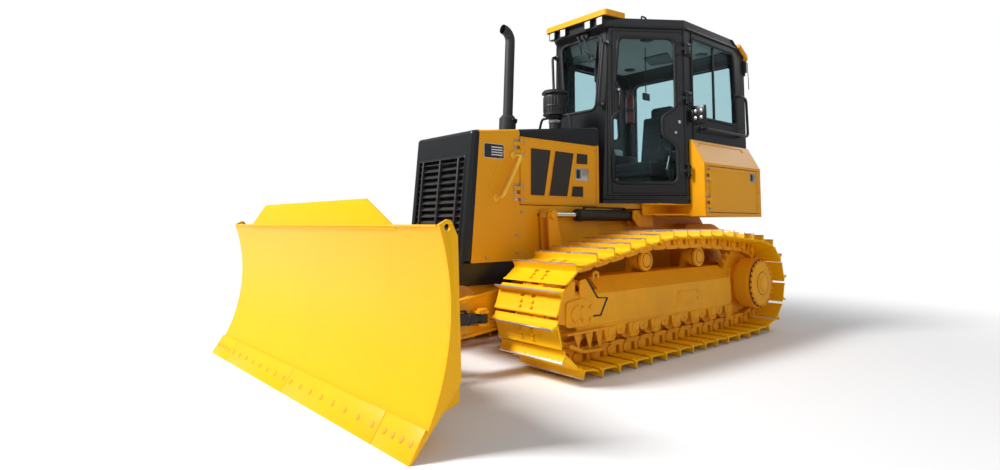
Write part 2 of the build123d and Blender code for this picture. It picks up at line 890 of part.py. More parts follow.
with BuildPart() as cab_envelope:
    with BuildSketch(Plane.XY.offset(cab_floor_z)) as plan:
        with BuildLine():
            Polyline(*cab_plan, close=True)
        make_face()
    extrude(amount=cab_top_z - cab_floor_z)
    slab_yz(
        [
            (cab_front_y, cab_floor_z),
            (cab_front_y - 100, cab_floor_z),
            (cab_front_y - 100, cab_top_z),
            (cab_front_at(cab_top_z), cab_top_z),
        ],
        -cab_half,
        cab_half,
        Mode.SUBTRACT,
    )
    slab_yz(roof_cut(0), -cab_half, cab_half, Mode.SUBTRACT)

with BuildPart() as cab_room:
    with BuildSketch(Plane.XY.offset(cab_floor_z + 25)) as plan:
        with BuildLine():
            Polyline(*cab_plan, close=True)
        make_face()
        offset(amount=-cab_wall, kind=Kind.INTERSECTION)
    extrude(amount=cab_top_z - cab_floor_z)
    slab_yz(
        [
            (cab_front_y + cab_wall, cab_floor_z),
            (cab_front_y - 100, cab_floor_z),
            (cab_front_y - 100, cab_top_z + 100),
            (cab_front_at(cab_top_z + 100) + cab_wall, cab_top_z + 100),
        ],
        -cab_half,
        cab_half,
        Mode.SUBTRACT,
    )
    slab_yz(roof_cut(roof_rim), -cab_half, cab_half, Mode.SUBTRACT)

door_run = hypot(cab_half - cab_corner_x, cab_door_rear_y - cab_front_y)
door_ahead = Vector(cab_corner_x - cab_half, cab_front_y - cab_door_rear_y, 0).normalized()
door_out = Vector(-door_ahead.Y, door_ahead.X, 0)
door_plane = Plane(origin=(cab_half, cab_door_rear_y, 0), x_dir=door_ahead, z_dir=door_out)
door_up = door_plane.y_dir.Z
door_pivot = (cab_half + hinge_stand + 1, cab_door_rear_y - 10)


def door_at(ahead, out):
    """Plan point: forward along the left door from its rear corner, and out from its face."""
    place = door_plane.origin + door_ahead * ahead + door_out * out
    return (place.X, place.Y)


door_outline = [(18, door_low_z), (door_run - 48, door_low_z), (door_run - 60, door_top_z), (18, door_top_z)]
# the window narrows at the handle in front and at the catch behind
window_sill_z = door_low_z + 104
catch_z = blend_heights(door_low_z, door_top_z, 0.413)
handle_z = blend_heights(door_low_z, door_top_z, 0.565)
window_outline = [
    (84, window_sill_z),
    (door_run - 90, window_sill_z),
    (door_run - 90, handle_z - 155),
    (door_run - 185, handle_z - 65),
    (door_run - 185, handle_z + 65),
    (door_run - 120, handle_z + 160),
    (door_run - 155, window_top_z),
    (92, window_top_z),
    (92, catch_z + 160),
    (214, catch_z + 80),
    (212, catch_z - 80),
    (84, catch_z - 180),
]


def door_prism(outline, grow, radius=0, start=-120, depth=240):
    """A prism square to the left door, for its outline or its window, grown or with round corners."""
    with BuildPart(mode=Mode.PRIVATE) as prism:
        with BuildSketch(door_plane.offset(start)) as face:
            with BuildLine():
                Polyline(*[(u, door_up * z) for u, z in outline], close=True)
            make_face()
            if grow:
                offset(amount=grow, kind=Kind.INTERSECTION)
            if radius:
                fillet(face.vertices(), radius)
        extrude(amount=depth)
    return prism.part


door_block = door_prism(door_outline, 0)
door_hole = door_prism(door_outline, hang_gap)
window_block = door_prism(window_outline, 0, window_radius)


def window(plane, points, depth, mode=Mode.ADD):
    """A window with round corners; it adds its pane to the open part, or cuts the opening."""
    with BuildSketch(plane) as pane:
        with BuildLine():
            Polyline(*points, close=True)
        make_face()
        fillet(pane.vertices(), window_radius)
    extrude(pane.sketch, amount=depth, mode=mode)


windscreen_outline = [
    (-windscreen_low_half, windscreen_low_z),
    (windscreen_low_half, windscreen_low_z),
    (windscreen_top_half, window_top_z + 33),
    (-windscreen_top_half, window_top_z + 33),
]
side_outline = [
    (1130, side_window_low_z),
    (cab_rear_y - 172, side_window_low_z),
    (cab_rear_y - 218, window_top_z + 31),
    (1130, window_top_z + 31),
]
rear_outline = rectangle(-600, 600, rear_window_low_z, window_top_z - 29)

with BuildPart() as cab_shell:
    add(cab_envelope.part)
    add(cab_room.part, mode=Mode.SUBTRACT)
    add(door_hole, mode=Mode.SUBTRACT)
    add(mirror(door_hole, about=Plane.YZ, mode=Mode.PRIVATE), mode=Mode.SUBTRACT)
    window(Plane.XZ.offset(-cab_front_y + 50), windscreen_outline, -250, Mode.SUBTRACT)
    window(Plane.YZ.offset(-cab_half - 1), side_outline, 2 * cab_half + 2, Mode.SUBTRACT)
    window(Plane.XZ.offset(-cab_rear_y + 100), rear_outline, -110, Mode.SUBTRACT)
    for side in (-1, 1):
        for place in cab_hinge_places:
            leaf = [
                (side * door_pivot[0], door_pivot[1]),
                (side * (door_pivot[0] + 5), door_pivot[1] + 10),
                (side * (cab_half + 6), cab_door_rear_y + 32),
                (side * (cab_half - bite), cab_door_rear_y + 32),
                (side * (cab_half - bite), cab_door_rear_y + 12),
            ]
            hinge((side * door_pivot[0], door_pivot[1]), leaf, place, fixed=True)
save(cab_shell, "cab_shell")

with BuildPart() as cab_door:
    add(cab_envelope.part)
    add(cab_room.part, mode=Mode.SUBTRACT)
    add(door_block, mode=Mode.INTERSECT)
    add(window_block, mode=Mode.SUBTRACT)
    for place in cab_hinge_places:
        leaf_points = ((-3, 10), (-3, 20), (75, 6), (75, -bite), (26, -bite), (26, 8))
        leaf = [door_at(*point) for point in leaf_points]
        hinge(door_pivot, leaf, place, fixed=False)
save_pair(cab_door, "cab_door")

with BuildPart() as door_glass:
    add(door_prism(window_outline, 0, window_radius, -cab_wall / 2, glass_thickness))
save_pair(door_glass, "door_glass")

with BuildPart() as windscreen:
    window(Plane.XZ.offset(-cab_front_y + 50), windscreen_outline, -250)
    slab_yz(
        [
            (cab_front_at(windscreen_low_z - 99) + 20, windscreen_low_z - 99),
            (cab_front_at(windscreen_low_z - 99) + 20 + glass_thickness, windscreen_low_z - 99),
            (cab_front_at(roof_top_z) + 20 + glass_thickness, roof_top_z),
            (cab_front_at(roof_top_z) + 20, roof_top_z),
        ],
        -cab_corner_x,
        cab_corner_x,
        Mode.INTERSECT,
    )
save(windscreen, "windscreen")

with BuildPart() as side_glass:
    window(Plane.YZ.offset(cab_half - 26), side_outline, glass_thickness)
save_pair(side_glass, "side_glass")

with BuildPart() as rear_glass:
    window(Plane.XZ.offset(-cab_rear_y + 26), rear_outline, -glass_thickness)
save(rear_glass, "rear_glass")

with BuildPart() as cab_roof:
    with BuildSketch(Plane.XY.offset(cab_top_z)) as plan:
        with BuildLine():
            Polyline(*cab_plan, close=True)
        make_face()
    extrude(amount=roof_top_z - cab_top_z)
    slab_yz(roof_cut(0), -cab_half, cab_half, Mode.SUBTRACT)
save(cab_roof, "cab_roof")

with BuildPart() as visor:
    slab_xy(
        [
            (-visor_half, visor_front_y),
            (visor_half, visor_front_y),
            (visor_half + 34, visor_rear_y),
            (-visor_half - 34, visor_rear_y),
        ],
        roof_top_z,
        visor_top_z,
    )
    corners = [edge for edge in visor.edges().filter_by(Axis.Z) if edge.center().Y < visor_rear_y - 1]
    fillet(corners, visor_radius)
    fillet(visor.faces().sort_by(Axis.Z)[-1].edges(), visor_radius / 3)
save(visor, "roof_visor")

with BuildPart() as seat:
    slab_yz(
        rectangle(seat_front_y, seat_pan_rear_y, cab_floor_z + floor_mat, seat_pan_z),
        -seat_pan_half,
        seat_pan_half,
    )
    slab_yz(rectangle(seat_front_y, seat_rear_y, seat_pan_z, seat_cushion_z), -seat_half, seat_half)
    slab_yz(
        [
            (seat_back_y, seat_cushion_z),
            (seat_back_y + seat_back_low, seat_cushion_z),
            (seat_back_y + seat_lean + seat_back_top, seat_top_z),
            (seat_back_y + seat_lean, seat_top_z),
        ],
        -seat_back_half,
        seat_back_half,
    )
save(seat, "seat")

with BuildPart() as console:
    slab_yz(
        [
            (console_front_y, cab_floor_z + floor_mat),
            (console_rear_y, cab_floor_z + floor_mat),
            (console_rear_y, console_rear_z),
            (console_front_y, console_front_z),
        ],
        -console_half,
        console_half,
    )
save(console, "console")

# ---------------------------------------------------------------- deck and side boxes
with BuildPart() as deck:
    slab_xy(
        [
            (-deck_front_half, deck_front_y),
            (deck_front_half, deck_front_y),
            (hull_half, deck_neck_y),
            (deck_half, deck_full_y),
            (deck_half, box_rear_y),
            (-deck_half, box_rear_y),
            (-deck_half, deck_full_y),
            (-hull_half, deck_neck_y),
        ],
        box_bottom_z,
        cab_floor_z,
    )
    cylinder_room = rectangle(0, lift_rear_y + 230, box_bottom_z - 1, tower_z + 60)
    for side in (-1, 1):
        room_inner_x = hull_half + cylinder_room_gap
        slab_yz(cylinder_room, side * room_inner_x, side * (deck_half + 6), Mode.SUBTRACT)
save(deck, "deck")

step_low_z = box_bottom_z + step_rise
step_plan = [
    (deck_half, step_front_y),
    (deck_half + step_front_width, step_front_y),
    (step_outer_x, box_front_y),
    (deck_half, box_front_y),
]
with BuildPart() as step:
    slab_xy(step_plan, step_low_z, cab_floor_z)
    slab_xy(step_plan, step_low_z + step_plate, cab_floor_z - step_plate, Mode.SUBTRACT)
    slab_xy(
        rectangle(deck_half, deck_half + step_rim, step_front_y, box_front_y),
        step_low_z,
        cab_floor_z,
    )
save_pair(step, "step")

box_profile = [
    (cab_half, box_top_z),
    (box_ledge_x, box_top_z),
    (box_outer_x, box_fold_z),
    (box_outer_x, box_bottom_z),
    (deck_half, box_bottom_z),
    (deck_half, cab_floor_z),
    (cab_half, cab_floor_z),
]
box_room = [
    (cab_half + box_room_gap, box_fold_z - box_head),
    (box_outer_x + 1, box_fold_z - box_head),
    (box_outer_x + 1, box_bottom_z + box_sill),
    (cab_half + box_room_gap, box_bottom_z + box_sill),
]
lid_leaf = [(hinge_stand, 0), (hinge_stand + 4, 6), (6, 48), (-bite, 48), (-bite, 12), (10, 8)]
with BuildPart() as side_box:
    slab_xz(box_profile, box_front_y, box_rear_y)
    slab_xz(box_room, box_front_y + box_margin, box_rear_y - box_margin, Mode.SUBTRACT)
    for place in box_hinge_places:
        leaf = [(box_outer_x + a, box_front_y + box_margin - b) for a, b in lid_leaf]
        hinge((box_outer_x + hinge_stand, box_front_y + box_margin), leaf, place, fixed=True)
save(side_box, "side_box")

with BuildPart() as box_door:
    slab_yz(
        rectangle(
            box_front_y + box_margin + hang_gap,
            box_rear_y - box_margin - hang_gap,
            box_bottom_z + box_sill + hang_gap,
            box_fold_z - box_head - hang_gap,
        ),
        box_outer_x - lid_thickness,
        box_outer_x,
    )
    for place in box_hinge_places:
        leaf = [(box_outer_x + a, box_front_y + box_margin + b) for a, b in lid_leaf]
        hinge((box_outer_x + hinge_stand, box_front_y + box_margin), leaf, place, fixed=False)
save(box_door, "box_door")

with BuildPart() as fuel_tank:
    slab_xz([(-x, z) for x, z in box_profile], box_front_y, box_rear_y)
    bar_z(-box_ledge_x - filler_inset, filler_y, filler_radius, filler_low_z, filler_top_z)
save(fuel_tank, "fuel_tank")

with BuildPart() as work_lights:
    for light_x in light_places:
        with BuildSketch(Plane.XZ.offset(lamp_depth - cab_front_y)) as lamp_face:
            with Locations((light_x, cab_top_z + lamp_height / 2)):
                RectangleRounded(lamp_height, lamp_height, lamp_radius)
        extrude(lamp_face.sketch, amount=-lamp_depth)
save(work_lights, "work_lights")

# ---------------------------------------------------------------- push frame
with BuildPart() as push_frame:
    slab_yz(
        [
            (lift_y, arm_rear_top_z),
            (arm_ridge_y, arm_ridge_z),
            (arm_knee_y, arm_knee_top_z),
            (nose_y + nose_reach, nose_top_z + 5),
            (nose_y + nose_reach, nose_low_z),
            (arm_knee_y + 6, arm_knee_low_z),
            (lift_y, arm_rear_low_z),
        ],
        -arm_outer_x,
        arm_outer_x,
    )
    # clear the space between the arms and shape the nose
    slab_xy(
        [
            (-arm_inner_x, 0),
            (arm_inner_x, 0),
            (arm_inner_x, arm_bend_y),
            (nose_inner_half, nose_inner_y),
            (-nose_inner_half, nose_inner_y),
            (-arm_inner_x, arm_bend_y),
        ],
        0,
        800,
        Mode.SUBTRACT,
    )
    for side in (-1, 1):
        slab_xy(
            [
                (side * (arm_outer_x + 2), -1085),
                (side * (arm_outer_x + 2), -1700),
                (side * 105, -1700),
                (side * 120, -1560),
                (side * 392, -1300),
            ],
            0,
            800,
            Mode.SUBTRACT,
        )
        slab_yz(rectangle(lift_y - 30, lift_y + 100, 200, 700), side * 300, side * 500, Mode.SUBTRACT)
    bar_z(0, nose_y, 92, nose_low_z, nose_top_z)
    slab_xy(rectangle(-200, 200, nose_y - 100, nose_y + 135), nose_top_z, nose_top_z + 200, Mode.SUBTRACT)
    bar_z(0, nose_y, 42 + pin_gap, 100, 500, Mode.SUBTRACT)
    for side in (-1, 1):
        for ear_x in (cylinder_x - 46, cylinder_x + 30):
            slab_yz(
                [
                    (lift_y - 75, lift_z - 60),
                    (lift_y + 75, lift_z - 60),
                    (lift_y + 75, lift_z + 60),
                    (tower_y + 42, tower_z + 10),
                    (tower_y + 25, tower_z + 42),
                    (tower_y - 25, tower_z + 42),
                    (tower_y - 42, tower_z + 10),
                    (lift_y - 95, lift_z + 60),
                ],
                side * ear_x,
                side * (ear_x + 16),
            )
            bar_x(tower_y, tower_z, 42, side * ear_x, side * (ear_x + 16))
        slab_yz(
            [
                (lift_y - 110, 596),
                (lift_y - 110, 339),
                (lift_y + 75, 395),
                (lift_y + 75, 545),
            ],
            side * arm_inner_x,
            side * (cylinder_x + 46),
        )
        bar_x(lift_y, lift_z, 95, side * arm_inner_x, side * (cylinder_x + 46))
        bar_x(lift_y, lift_z, 42 + pin_gap, side * 300, side * 500, Mode.SUBTRACT)
        bar_x(tower_y, tower_z, 30, side * (cylinder_x + 46), side * (cylinder_x + 54))
        # angle cylinder base lugs
        for lug_z in (angle_z - 47, angle_z + 31):
            slab_xy(
                [
                    (side * (arm_outer_x - 2), angle_base_y - 50),
                    (side * (angle_base_x + 20), angle_base_y - 40),
                    (side * (angle_base_x + 40), angle_base_y),
                    (side * (angle_base_x + 20), angle_base_y + 40),
                    (side * (arm_outer_x - 2), angle_base_y + 50),
                ],
                lug_z,
                lug_z + 16,
            )
        bar_z(side * angle_base_x, angle_base_y, 20, angle_z - 54, angle_z + 54)
save(push_frame, "push_frame")

# ---------------------------------------------------------------- blade carrier
with BuildPart() as carrier:
    bar_z(0, nose_y, 42, nose_low_z - swing_gap - carrier_plate, nose_top_z + swing_gap + carrier_plate)
    for plate_z in (nose_low_z - swing_gap - carrier_plate, nose_top_z + swing_gap):
        slab_xy(
            [(-110, nose_y + 60), (110, nose_y + 60), (140, nose_y - 140), (-140, nose_y - 140)],
            plate_z,
            plate_z + carrier_plate,
        )
    slab_xz(
        [
            (-440, 300),
            (-440, 420),
            (-175, 460),
            (-175, 640),
            (-60, 640),
            (60, 520),
            (140, 460),
            (440, 420),
            (440, 300),
            (140, 150),
            (-140, 150),
        ],
        nose_y - 140,
        nose_y - 165,
    )
    for side in (-1, 1):
        for lug_z in (angle_z - 47, angle_z + 31):
            slab_xy(
                [
                    (side * (angle_lug_x - 45), nose_y - 142),
                    (side * (angle_lug_x - 40), angle_lug_y + 30),
                    (side * angle_lug_x, angle_lug_y + 40),
                    (side * (angle_lug_x + 40), angle_lug_y + 30),
                    (side * (angle_lug_x + 45), nose_y - 142),
                ],
                lug_z,
                lug_z + 16,
            )
    bar_y(0, blade_pin_z, 45, nose_y - 240, nose_y - 150)
    # tilt cylinder base lugs
    for lug_y in (tilt_y - 47, tilt_y + 31):
        slab_xz(
            [
                (-175, 560),
                (-60, 560),
                (-60, 640),
                (tilt_base_x + 30, tilt_z + 40),
                (tilt_base_x - 30, tilt_z + 40),
                (-175, 640),
            ],
            lug_y,
            lug_y + 16,
        )
    slab_xz(rectangle(-175, -60, 560, 640), tilt_y - 50, tilt_y + 47)
    bar_y(tilt_base_x, tilt_z, 18, tilt_y - 47, tilt_y + 47)
save(carrier, "blade_carrier")

# ---------------------------------------------------------------- blade
edge_front_y = -track.part.bounding_box().max.Y
edge_top_y = edge_front_y + edge_slope * edge_height
edge_tilt = hypot(edge_slope, 1)
edge_step_y = edge_thickness / edge_tilt
edge_step_z = -edge_thickness * edge_slope / edge_tilt
foot_y = edge_top_y + edge_step_y
foot_z = edge_height + edge_step_z


def circle_through(a, b, c):
    """Centre and radius of the circle through three points."""
    d = 2 * (a[0] * (b[1] - c[1]) + b[0] * (c[1] - a[1]) + c[0] * (a[1] - b[1]))
    a2, b2, c2 = (p[0] ** 2 + p[1] ** 2 for p in (a, b, c))
    y = (a2 * (b[1] - c[1]) + b2 * (c[1] - a[1]) + c2 * (a[1] - b[1])) / d
    z = (a2 * (c[0] - b[0]) + b2 * (a[0] - c[0]) + c2 * (b[0] - a[0])) / d
    return y, z, hypot(a[0] - y, a[1] - z)


# the rear edge of the blade's end plates, from its lifting ear down
side_rear_line = [
    (-1952, 985),
    (-1930, 983),
    (-1893, 913),
    (-1868, 300),
    (-1877, 270),
    (foot_y - 90 * edge_slope, foot_z - 90),
]
bowl_y, bowl_z, bowl_radius = circle_through(
    (foot_y, foot_z), (blade_deep_y, blade_deep_z), (blade_top_y, blade_top_z)
)


def bowl_at(z):
    """The mouldboard's front surface."""
    return bowl_y + sqrt(bowl_radius**2 - (z - bowl_z) ** 2)


def bowl_points(z_from, z_to, back, count=7):
    heights = [blend(i, 0, count, z_from, z_to) for i in range(count + 1)]
    return [(bowl_at(z) + back, z) for z in heights]


with BuildPart() as blade:
    with BuildSketch(Plane.YZ.offset(-blade_half)) as mouldboard:
        with BuildLine():
            ThreePointArc((foot_y, foot_z), (blade_deep_y, blade_deep_z), (blade_top_y, blade_top_z))
            Polyline((blade_top_y, blade_top_z), (blade_top_y + blade_plate, blade_top_z))
            ThreePointArc(
                (blade_top_y + blade_plate, blade_top_z),
                (blade_deep_y + blade_plate, blade_deep_z),
                (foot_y + blade_plate, foot_z - 8),
            )
            Polyline(
                (foot_y + blade_plate, foot_z - 8),
                (foot_y + blade_plate - 90 * edge_slope, foot_z - 98),
                (foot_y - 80 * edge_slope, foot_z - 80),
                (foot_y, foot_z),
            )
        make_face()
    extrude(amount=2 * blade_half)
    # torque box behind the mouldboard
    slab_yz(
        bowl_points(foot_z + 10, torque_top_z + 50, 8)
        + [(torque_rear_y, torque_top_z), (torque_rear_y, 170)],
        -blade_half + 40,
        blade_half - 40,
    )
    for side in (-1, 1):
        slab_yz(
            bowl_points(foot_z, blade_top_z, 0) + side_rear_line,
            side * (blade_half - blade_side_thickness),
            side * blade_half,
        )
        bar_x(
            ear_hole_y,
            ear_hole_z,
            ear_hole_radius,
            side * (blade_half - 40),
            side * (blade_half + 10),
            Mode.SUBTRACT,
        )
        for rib_x in rib_places:
            slab_yz(
                bowl_points(rib_low_z, rib_top_z, blade_plate / 2)
                + [(rib_top_y, rib_top_z), (rib_foot_y, rib_low_z + 20)],
                side * (rib_x - blade_plate / 2),
                side * (rib_x + blade_plate / 2),
            )
    # spill guard
    slab_xz(
        [
            (-spill_base_half, blade_top_z - 22),
            (spill_base_half, blade_top_z - 22),
            (spill_top_half, spill_top_z),
            (-spill_top_half, spill_top_z),
        ],
        blade_top_y + 2,
        blade_top_y + 14,
    )
    # centre boss and tilt lug
    slab_xz(rectangle(-170, 170, 180, 420), -1850, nose_y - 175)
    bar_y(0, blade_pin_z, 45 + pin_gap, nose_y - 245, nose_y - 100, Mode.SUBTRACT)
save(blade, "blade")

# the tilt cylinder's bracket, on the torque box
with BuildPart() as tilt_bracket:
    for lug_y in (tilt_y - 47, tilt_y + 31):
        slab_xz(
            [
                (tilt_lug_x - 60, torque_top_z),
                (tilt_lug_x + 60, torque_top_z),
                (tilt_lug_x + 35, tilt_z + 40),
                (tilt_lug_x - 35, tilt_z + 40),
            ],
            lug_y,
            lug_y + 16,
        )
    slab_yz(
        [
            (torque_rear_y, torque_top_z - 90),
            (torque_rear_y, torque_top_z),
            (tilt_y - 47, torque_top_z + 30),
            (tilt_y + 47, torque_top_z + 30),
            (tilt_y + 47, torque_top_z),
        ],
        tilt_lug_x - 70,
        tilt_lug_x + 70,
    )
save(tilt_bracket, "tilt_bracket")

with BuildPart() as cutting_edge:
    slab_yz(
        [
            (edge_front_y, 0),
            (edge_top_y, edge_height),
            (foot_y, foot_z),
            (foot_y - foot_z * edge_slope, 0),
        ],
        -blade_half,
        blade_half,
    )
save(cutting_edge, "cutting_edge")


# ---------------------------------------------------------------- cylinders
def cylinder_frame(base, eye, turn):
    """A plane at the base pin with X along the cylinder and Z along its pins."""
    return Plane(origin=base, x_dir=Vector(*eye) - Vector(*base), z_dir=turn)


def barrel_solid(frame, sizes):
    """A tube on a pierced base eye; it adds to the open part."""
    along = Plane(origin=frame.origin, x_dir=frame.z_dir, z_dir=frame.x_dir)
    for plane, radius, depth, mode in (
        (frame.offset(-sizes["eye_width"] / 2), sizes["eye"], sizes["eye_width"], Mode.ADD),
        (along, sizes["eye_width"] / 2, sizes["neck"], Mode.ADD),
        (along.offset(sizes["neck"]), sizes["tube"], sizes["length"] - sizes["neck"], Mode.ADD),
        (
            along.offset(sizes["neck"] + base_cap),
            sizes["bore"],
            sizes["length"] - sizes["neck"] - base_cap - gland_length,
            Mode.SUBTRACT,
        ),
        (
            along.offset(sizes["length"] - 2 * gland_length),
            sizes["rod"] + pin_gap,
            3 * gland_length,
            Mode.SUBTRACT,
        ),
        (frame.offset(-sizes["eye_width"]), sizes["pin"] + pin_gap, 2 * sizes["eye_width"], Mode.SUBTRACT),
    ):
        with BuildSketch(plane) as disc:
            Circle(radius)
        extrude(disc.sketch, amount=depth, mode=mode)


def rod_solid(frame, reach, sizes):
    """A piston, its rod and the eye that closes the linkage; it adds to the open part."""
    along = Plane(origin=frame.origin, x_dir=frame.z_dir, z_dir=frame.x_dir)
    for plane, radius, depth in (
        (along.offset(sizes["piston"] - piston_length / 2), sizes["bore"] - pin_gap, piston_length),
        (along.offset(sizes["piston"]), sizes["rod"], reach - sizes["piston"]),
    ):
        with BuildSketch(plane) as disc:
            Circle(radius)
        extrude(disc.sketch, amount=depth)
    with BuildSketch(frame.offset(-sizes["eye_width"] / 2)) as disc:
        with Locations((reach, 0)):
            Circle(sizes["eye"] - 2)
    extrude(disc.sketch, amount=sizes["eye_width"])


base_cap = 6.0
gland_length = 20.0
piston_length = 20.0
# columns: tube radius, bore, rod, pin, eye radius, eye width, neck length, barrel length, piston place
lift_sizes = dict(tube=45, bore=34, rod=22, pin=24, eye=42, eye_width=48, neck=92, length=712, piston=480)
angle_sizes = dict(tube=38, bore=28, rod=18, pin=20, eye=36, eye_width=50, neck=62, length=440, piston=244.5)
tilt_sizes = dict(tube=38, bore=28, rod=18, pin=18, eye=36, eye_width=50, neck=62, length=560, piston=400)

lift_frame = cylinder_frame((cylinder_x, lift_rear_y, tower_z), (cylinder_x, tower_y, tower_z), (1, 0, 0))
with BuildPart() as lift_barrel:
    barrel_solid(lift_frame, lift_sizes)
save_pair(lift_barrel, "lift_barrel")
with BuildPart() as lift_rod:
    rod_solid(lift_frame, lift_rear_y - tower_y, lift_sizes)
save_pair(lift_rod, "lift_rod")

angle_frame = cylinder_frame(
    (angle_base_x, angle_base_y, angle_z), (angle_lug_x, angle_lug_y, angle_z), (0, 0, 1)
)
with BuildPart() as angle_barrel:
    barrel_solid(angle_frame, angle_sizes)
save_pair(angle_barrel, "angle_barrel")
with BuildPart() as angle_rod:
    rod_solid(angle_frame, hypot(angle_lug_x - angle_base_x, angle_lug_y - angle_base_y), angle_sizes)
save_pair(angle_rod, "angle_rod")

tilt_frame = cylinder_frame((tilt_base_x, tilt_y, tilt_z), (tilt_lug_x, tilt_y, tilt_z), (0, -1, 0))
with BuildPart() as tilt_barrel:
    barrel_solid(tilt_frame, tilt_sizes)
save(tilt_barrel, "tilt_barrel")
with BuildPart() as tilt_rod:
    rod_solid(tilt_frame, tilt_lug_x - tilt_base_x, tilt_sizes)
save(tilt_rod, "tilt_rod")
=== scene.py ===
import bisect
import json
import math

import bmesh
import bpy
from bpy.props import FloatProperty, FloatVectorProperty, IntProperty, PointerProperty
from mathutils import Matrix, Vector


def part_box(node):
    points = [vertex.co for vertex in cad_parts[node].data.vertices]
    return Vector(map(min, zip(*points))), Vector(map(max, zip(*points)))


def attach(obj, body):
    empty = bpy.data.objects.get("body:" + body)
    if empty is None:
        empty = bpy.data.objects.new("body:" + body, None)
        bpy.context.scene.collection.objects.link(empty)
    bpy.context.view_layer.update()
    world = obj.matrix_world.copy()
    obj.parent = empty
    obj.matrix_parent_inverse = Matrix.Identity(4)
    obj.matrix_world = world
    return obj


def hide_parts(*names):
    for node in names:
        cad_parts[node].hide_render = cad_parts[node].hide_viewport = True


bl_info = {
    "name": "Crawler bulldozer",
    "version": (1, 0, 0),
    "blender": (4, 5, 0),
    "location": "3D View > Sidebar > Dozer",
    "description": "Dresses a crawler bulldozer's fixed frame with its visible pieces and finishes",
    "category": "Object",
}

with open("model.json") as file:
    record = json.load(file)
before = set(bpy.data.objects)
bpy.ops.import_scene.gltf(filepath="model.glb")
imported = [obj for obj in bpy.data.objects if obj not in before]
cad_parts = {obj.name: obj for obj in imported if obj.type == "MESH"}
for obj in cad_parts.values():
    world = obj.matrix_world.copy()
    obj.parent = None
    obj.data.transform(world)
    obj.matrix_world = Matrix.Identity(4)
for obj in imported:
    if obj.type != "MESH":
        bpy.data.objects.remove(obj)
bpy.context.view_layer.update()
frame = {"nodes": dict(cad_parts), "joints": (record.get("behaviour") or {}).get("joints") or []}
NODES = frame["nodes"]
SIDES = (("left", 1), ("right", -1))


# ---------------------------------------------------------------- sizes and colours
class DozerColours(bpy.types.PropertyGroup):
    paint: FloatVectorProperty(
        name="Paint", description="Main paint", subtype="COLOR", size=3, min=0, max=1, default=(0.87, 0.385, 0.004)
    )
    grime: FloatVectorProperty(
        name="Grime", description="Dust on the tracks", subtype="COLOR", size=3, min=0, max=1,
        default=(0.42, 0.21, 0.05),
    )
    charcoal: FloatVectorProperty(
        name="Charcoal", description="Cab, grille and hood top", subtype="COLOR", size=3, min=0, max=1,
        default=(0.022, 0.024, 0.028),
    )
    glass: FloatVectorProperty(
        name="Glass", description="Tint of the panes", subtype="COLOR", size=3, min=0, max=1,
        default=(0.6, 0.76, 0.79),
    )


class DozerSizes(bpy.types.PropertyGroup):
    shoes: IntProperty(name="Shoes", description="Shoes on each track", default=38, min=30, max=46)
    seal: FloatProperty(name="Seal", description="Radius of a window seal", default=0.013, unit="LENGTH")
    rail: FloatProperty(name="Rail", description="Radius of a grab rail", default=0.0125, unit="LENGTH")


def colours():
    return bpy.context.scene.dozer_colours


def sizes():
    return bpy.context.scene.dozer_sizes


# ---------------------------------------------------------------- shaping
TURN = {
    "X": lambda a, b, c: Vector((c, a, b)),
    "Y": lambda a, b, c: Vector((a, c, b)),
    "Z": lambda a, b, c: Vector((a, b, c)),
}
ALONG = {"X": Vector((1, 0, 0)), "Y": Vector((0, 1, 0)), "Z": Vector((0, 0, 1))}
JOINTS = {joint["name"]: joint["pos_m"] for joint in frame["joints"] if "pos_m" in joint}
SMOOTH_ANGLE = math.radians(40)
MERGE = 1e-5


def clear():
    if bpy.context.object and bpy.context.object.mode != "OBJECT":
        bpy.ops.object.mode_set(mode="OBJECT")
    bpy.ops.object.select_all(action="DESELECT")


def choose(piece):
    clear()
    piece.select_set(True)
    bpy.context.view_layer.objects.active = piece


def duplicate(piece):
    """A copy of a piece with a mesh of its own."""
    twin = piece.copy()
    twin.data = piece.data.copy()
    bpy.context.collection.objects.link(twin)
    return twin


def flip(piece):
    """Turns a piece's faces over, after its mesh was mirrored."""
    choose(piece)
    bpy.ops.object.mode_set(mode="EDIT")
    bpy.ops.mesh.select_all(action="SELECT")
    bpy.ops.mesh.flip_normals()
    bpy.ops.object.mode_set(mode="OBJECT")


def soften(piece, width, segments=2, angle=35):
    """Rounds the sharp edges, and shades the piece smooth."""
    choose(piece)
    if width:
        edge = piece.modifiers.new("edges", "BEVEL")
        edge.width = width
        edge.segments = segments
        edge.limit_method = "ANGLE"
        edge.angle_limit = math.radians(angle)
        edge.use_clamp_overlap = True
        bpy.ops.object.modifier_apply(modifier=edge.name)
    bpy.ops.object.shade_smooth_by_angle(angle=SMOOTH_ANGLE)
    return piece


def outline_points(name, count, fill):
    """A new run of points, selected as the active piece."""
    clear()
    bpy.ops.mesh.primitive_circle_add(vertices=count, fill_type=fill)
    bpy.context.object.name = name
    return bpy.context.object


def flat_plate(name, points, depth, edge=0.0, segments=2):
    """A flat run of points, pushed out by a vector."""
    piece = outline_points(name, len(points), "NGON")
    for vertex, place in zip(piece.data.vertices, points):
        vertex.co = place
    bpy.ops.object.mode_set(mode="EDIT")
    bpy.ops.mesh.select_all(action="SELECT")
    bpy.ops.mesh.extrude_region_move(TRANSFORM_OT_translate={"value": Vector(depth)})
    bpy.ops.mesh.select_all(action="SELECT")
    bpy.ops.mesh.normals_make_consistent(inside=False)
    bpy.ops.object.mode_set(mode="OBJECT")
    return soften(piece, edge, segments)


def plate(name, outline, axis, start, depth, edge=0.0, segments=2):
    """A flat outline, pushed out along an axis: (y, z) for X, (x, z) for Y and (x, y) for Z."""
    return flat_plate(name, [TURN[axis](a, b, start) for a, b in outline], ALONG[axis] * depth, edge, segments)


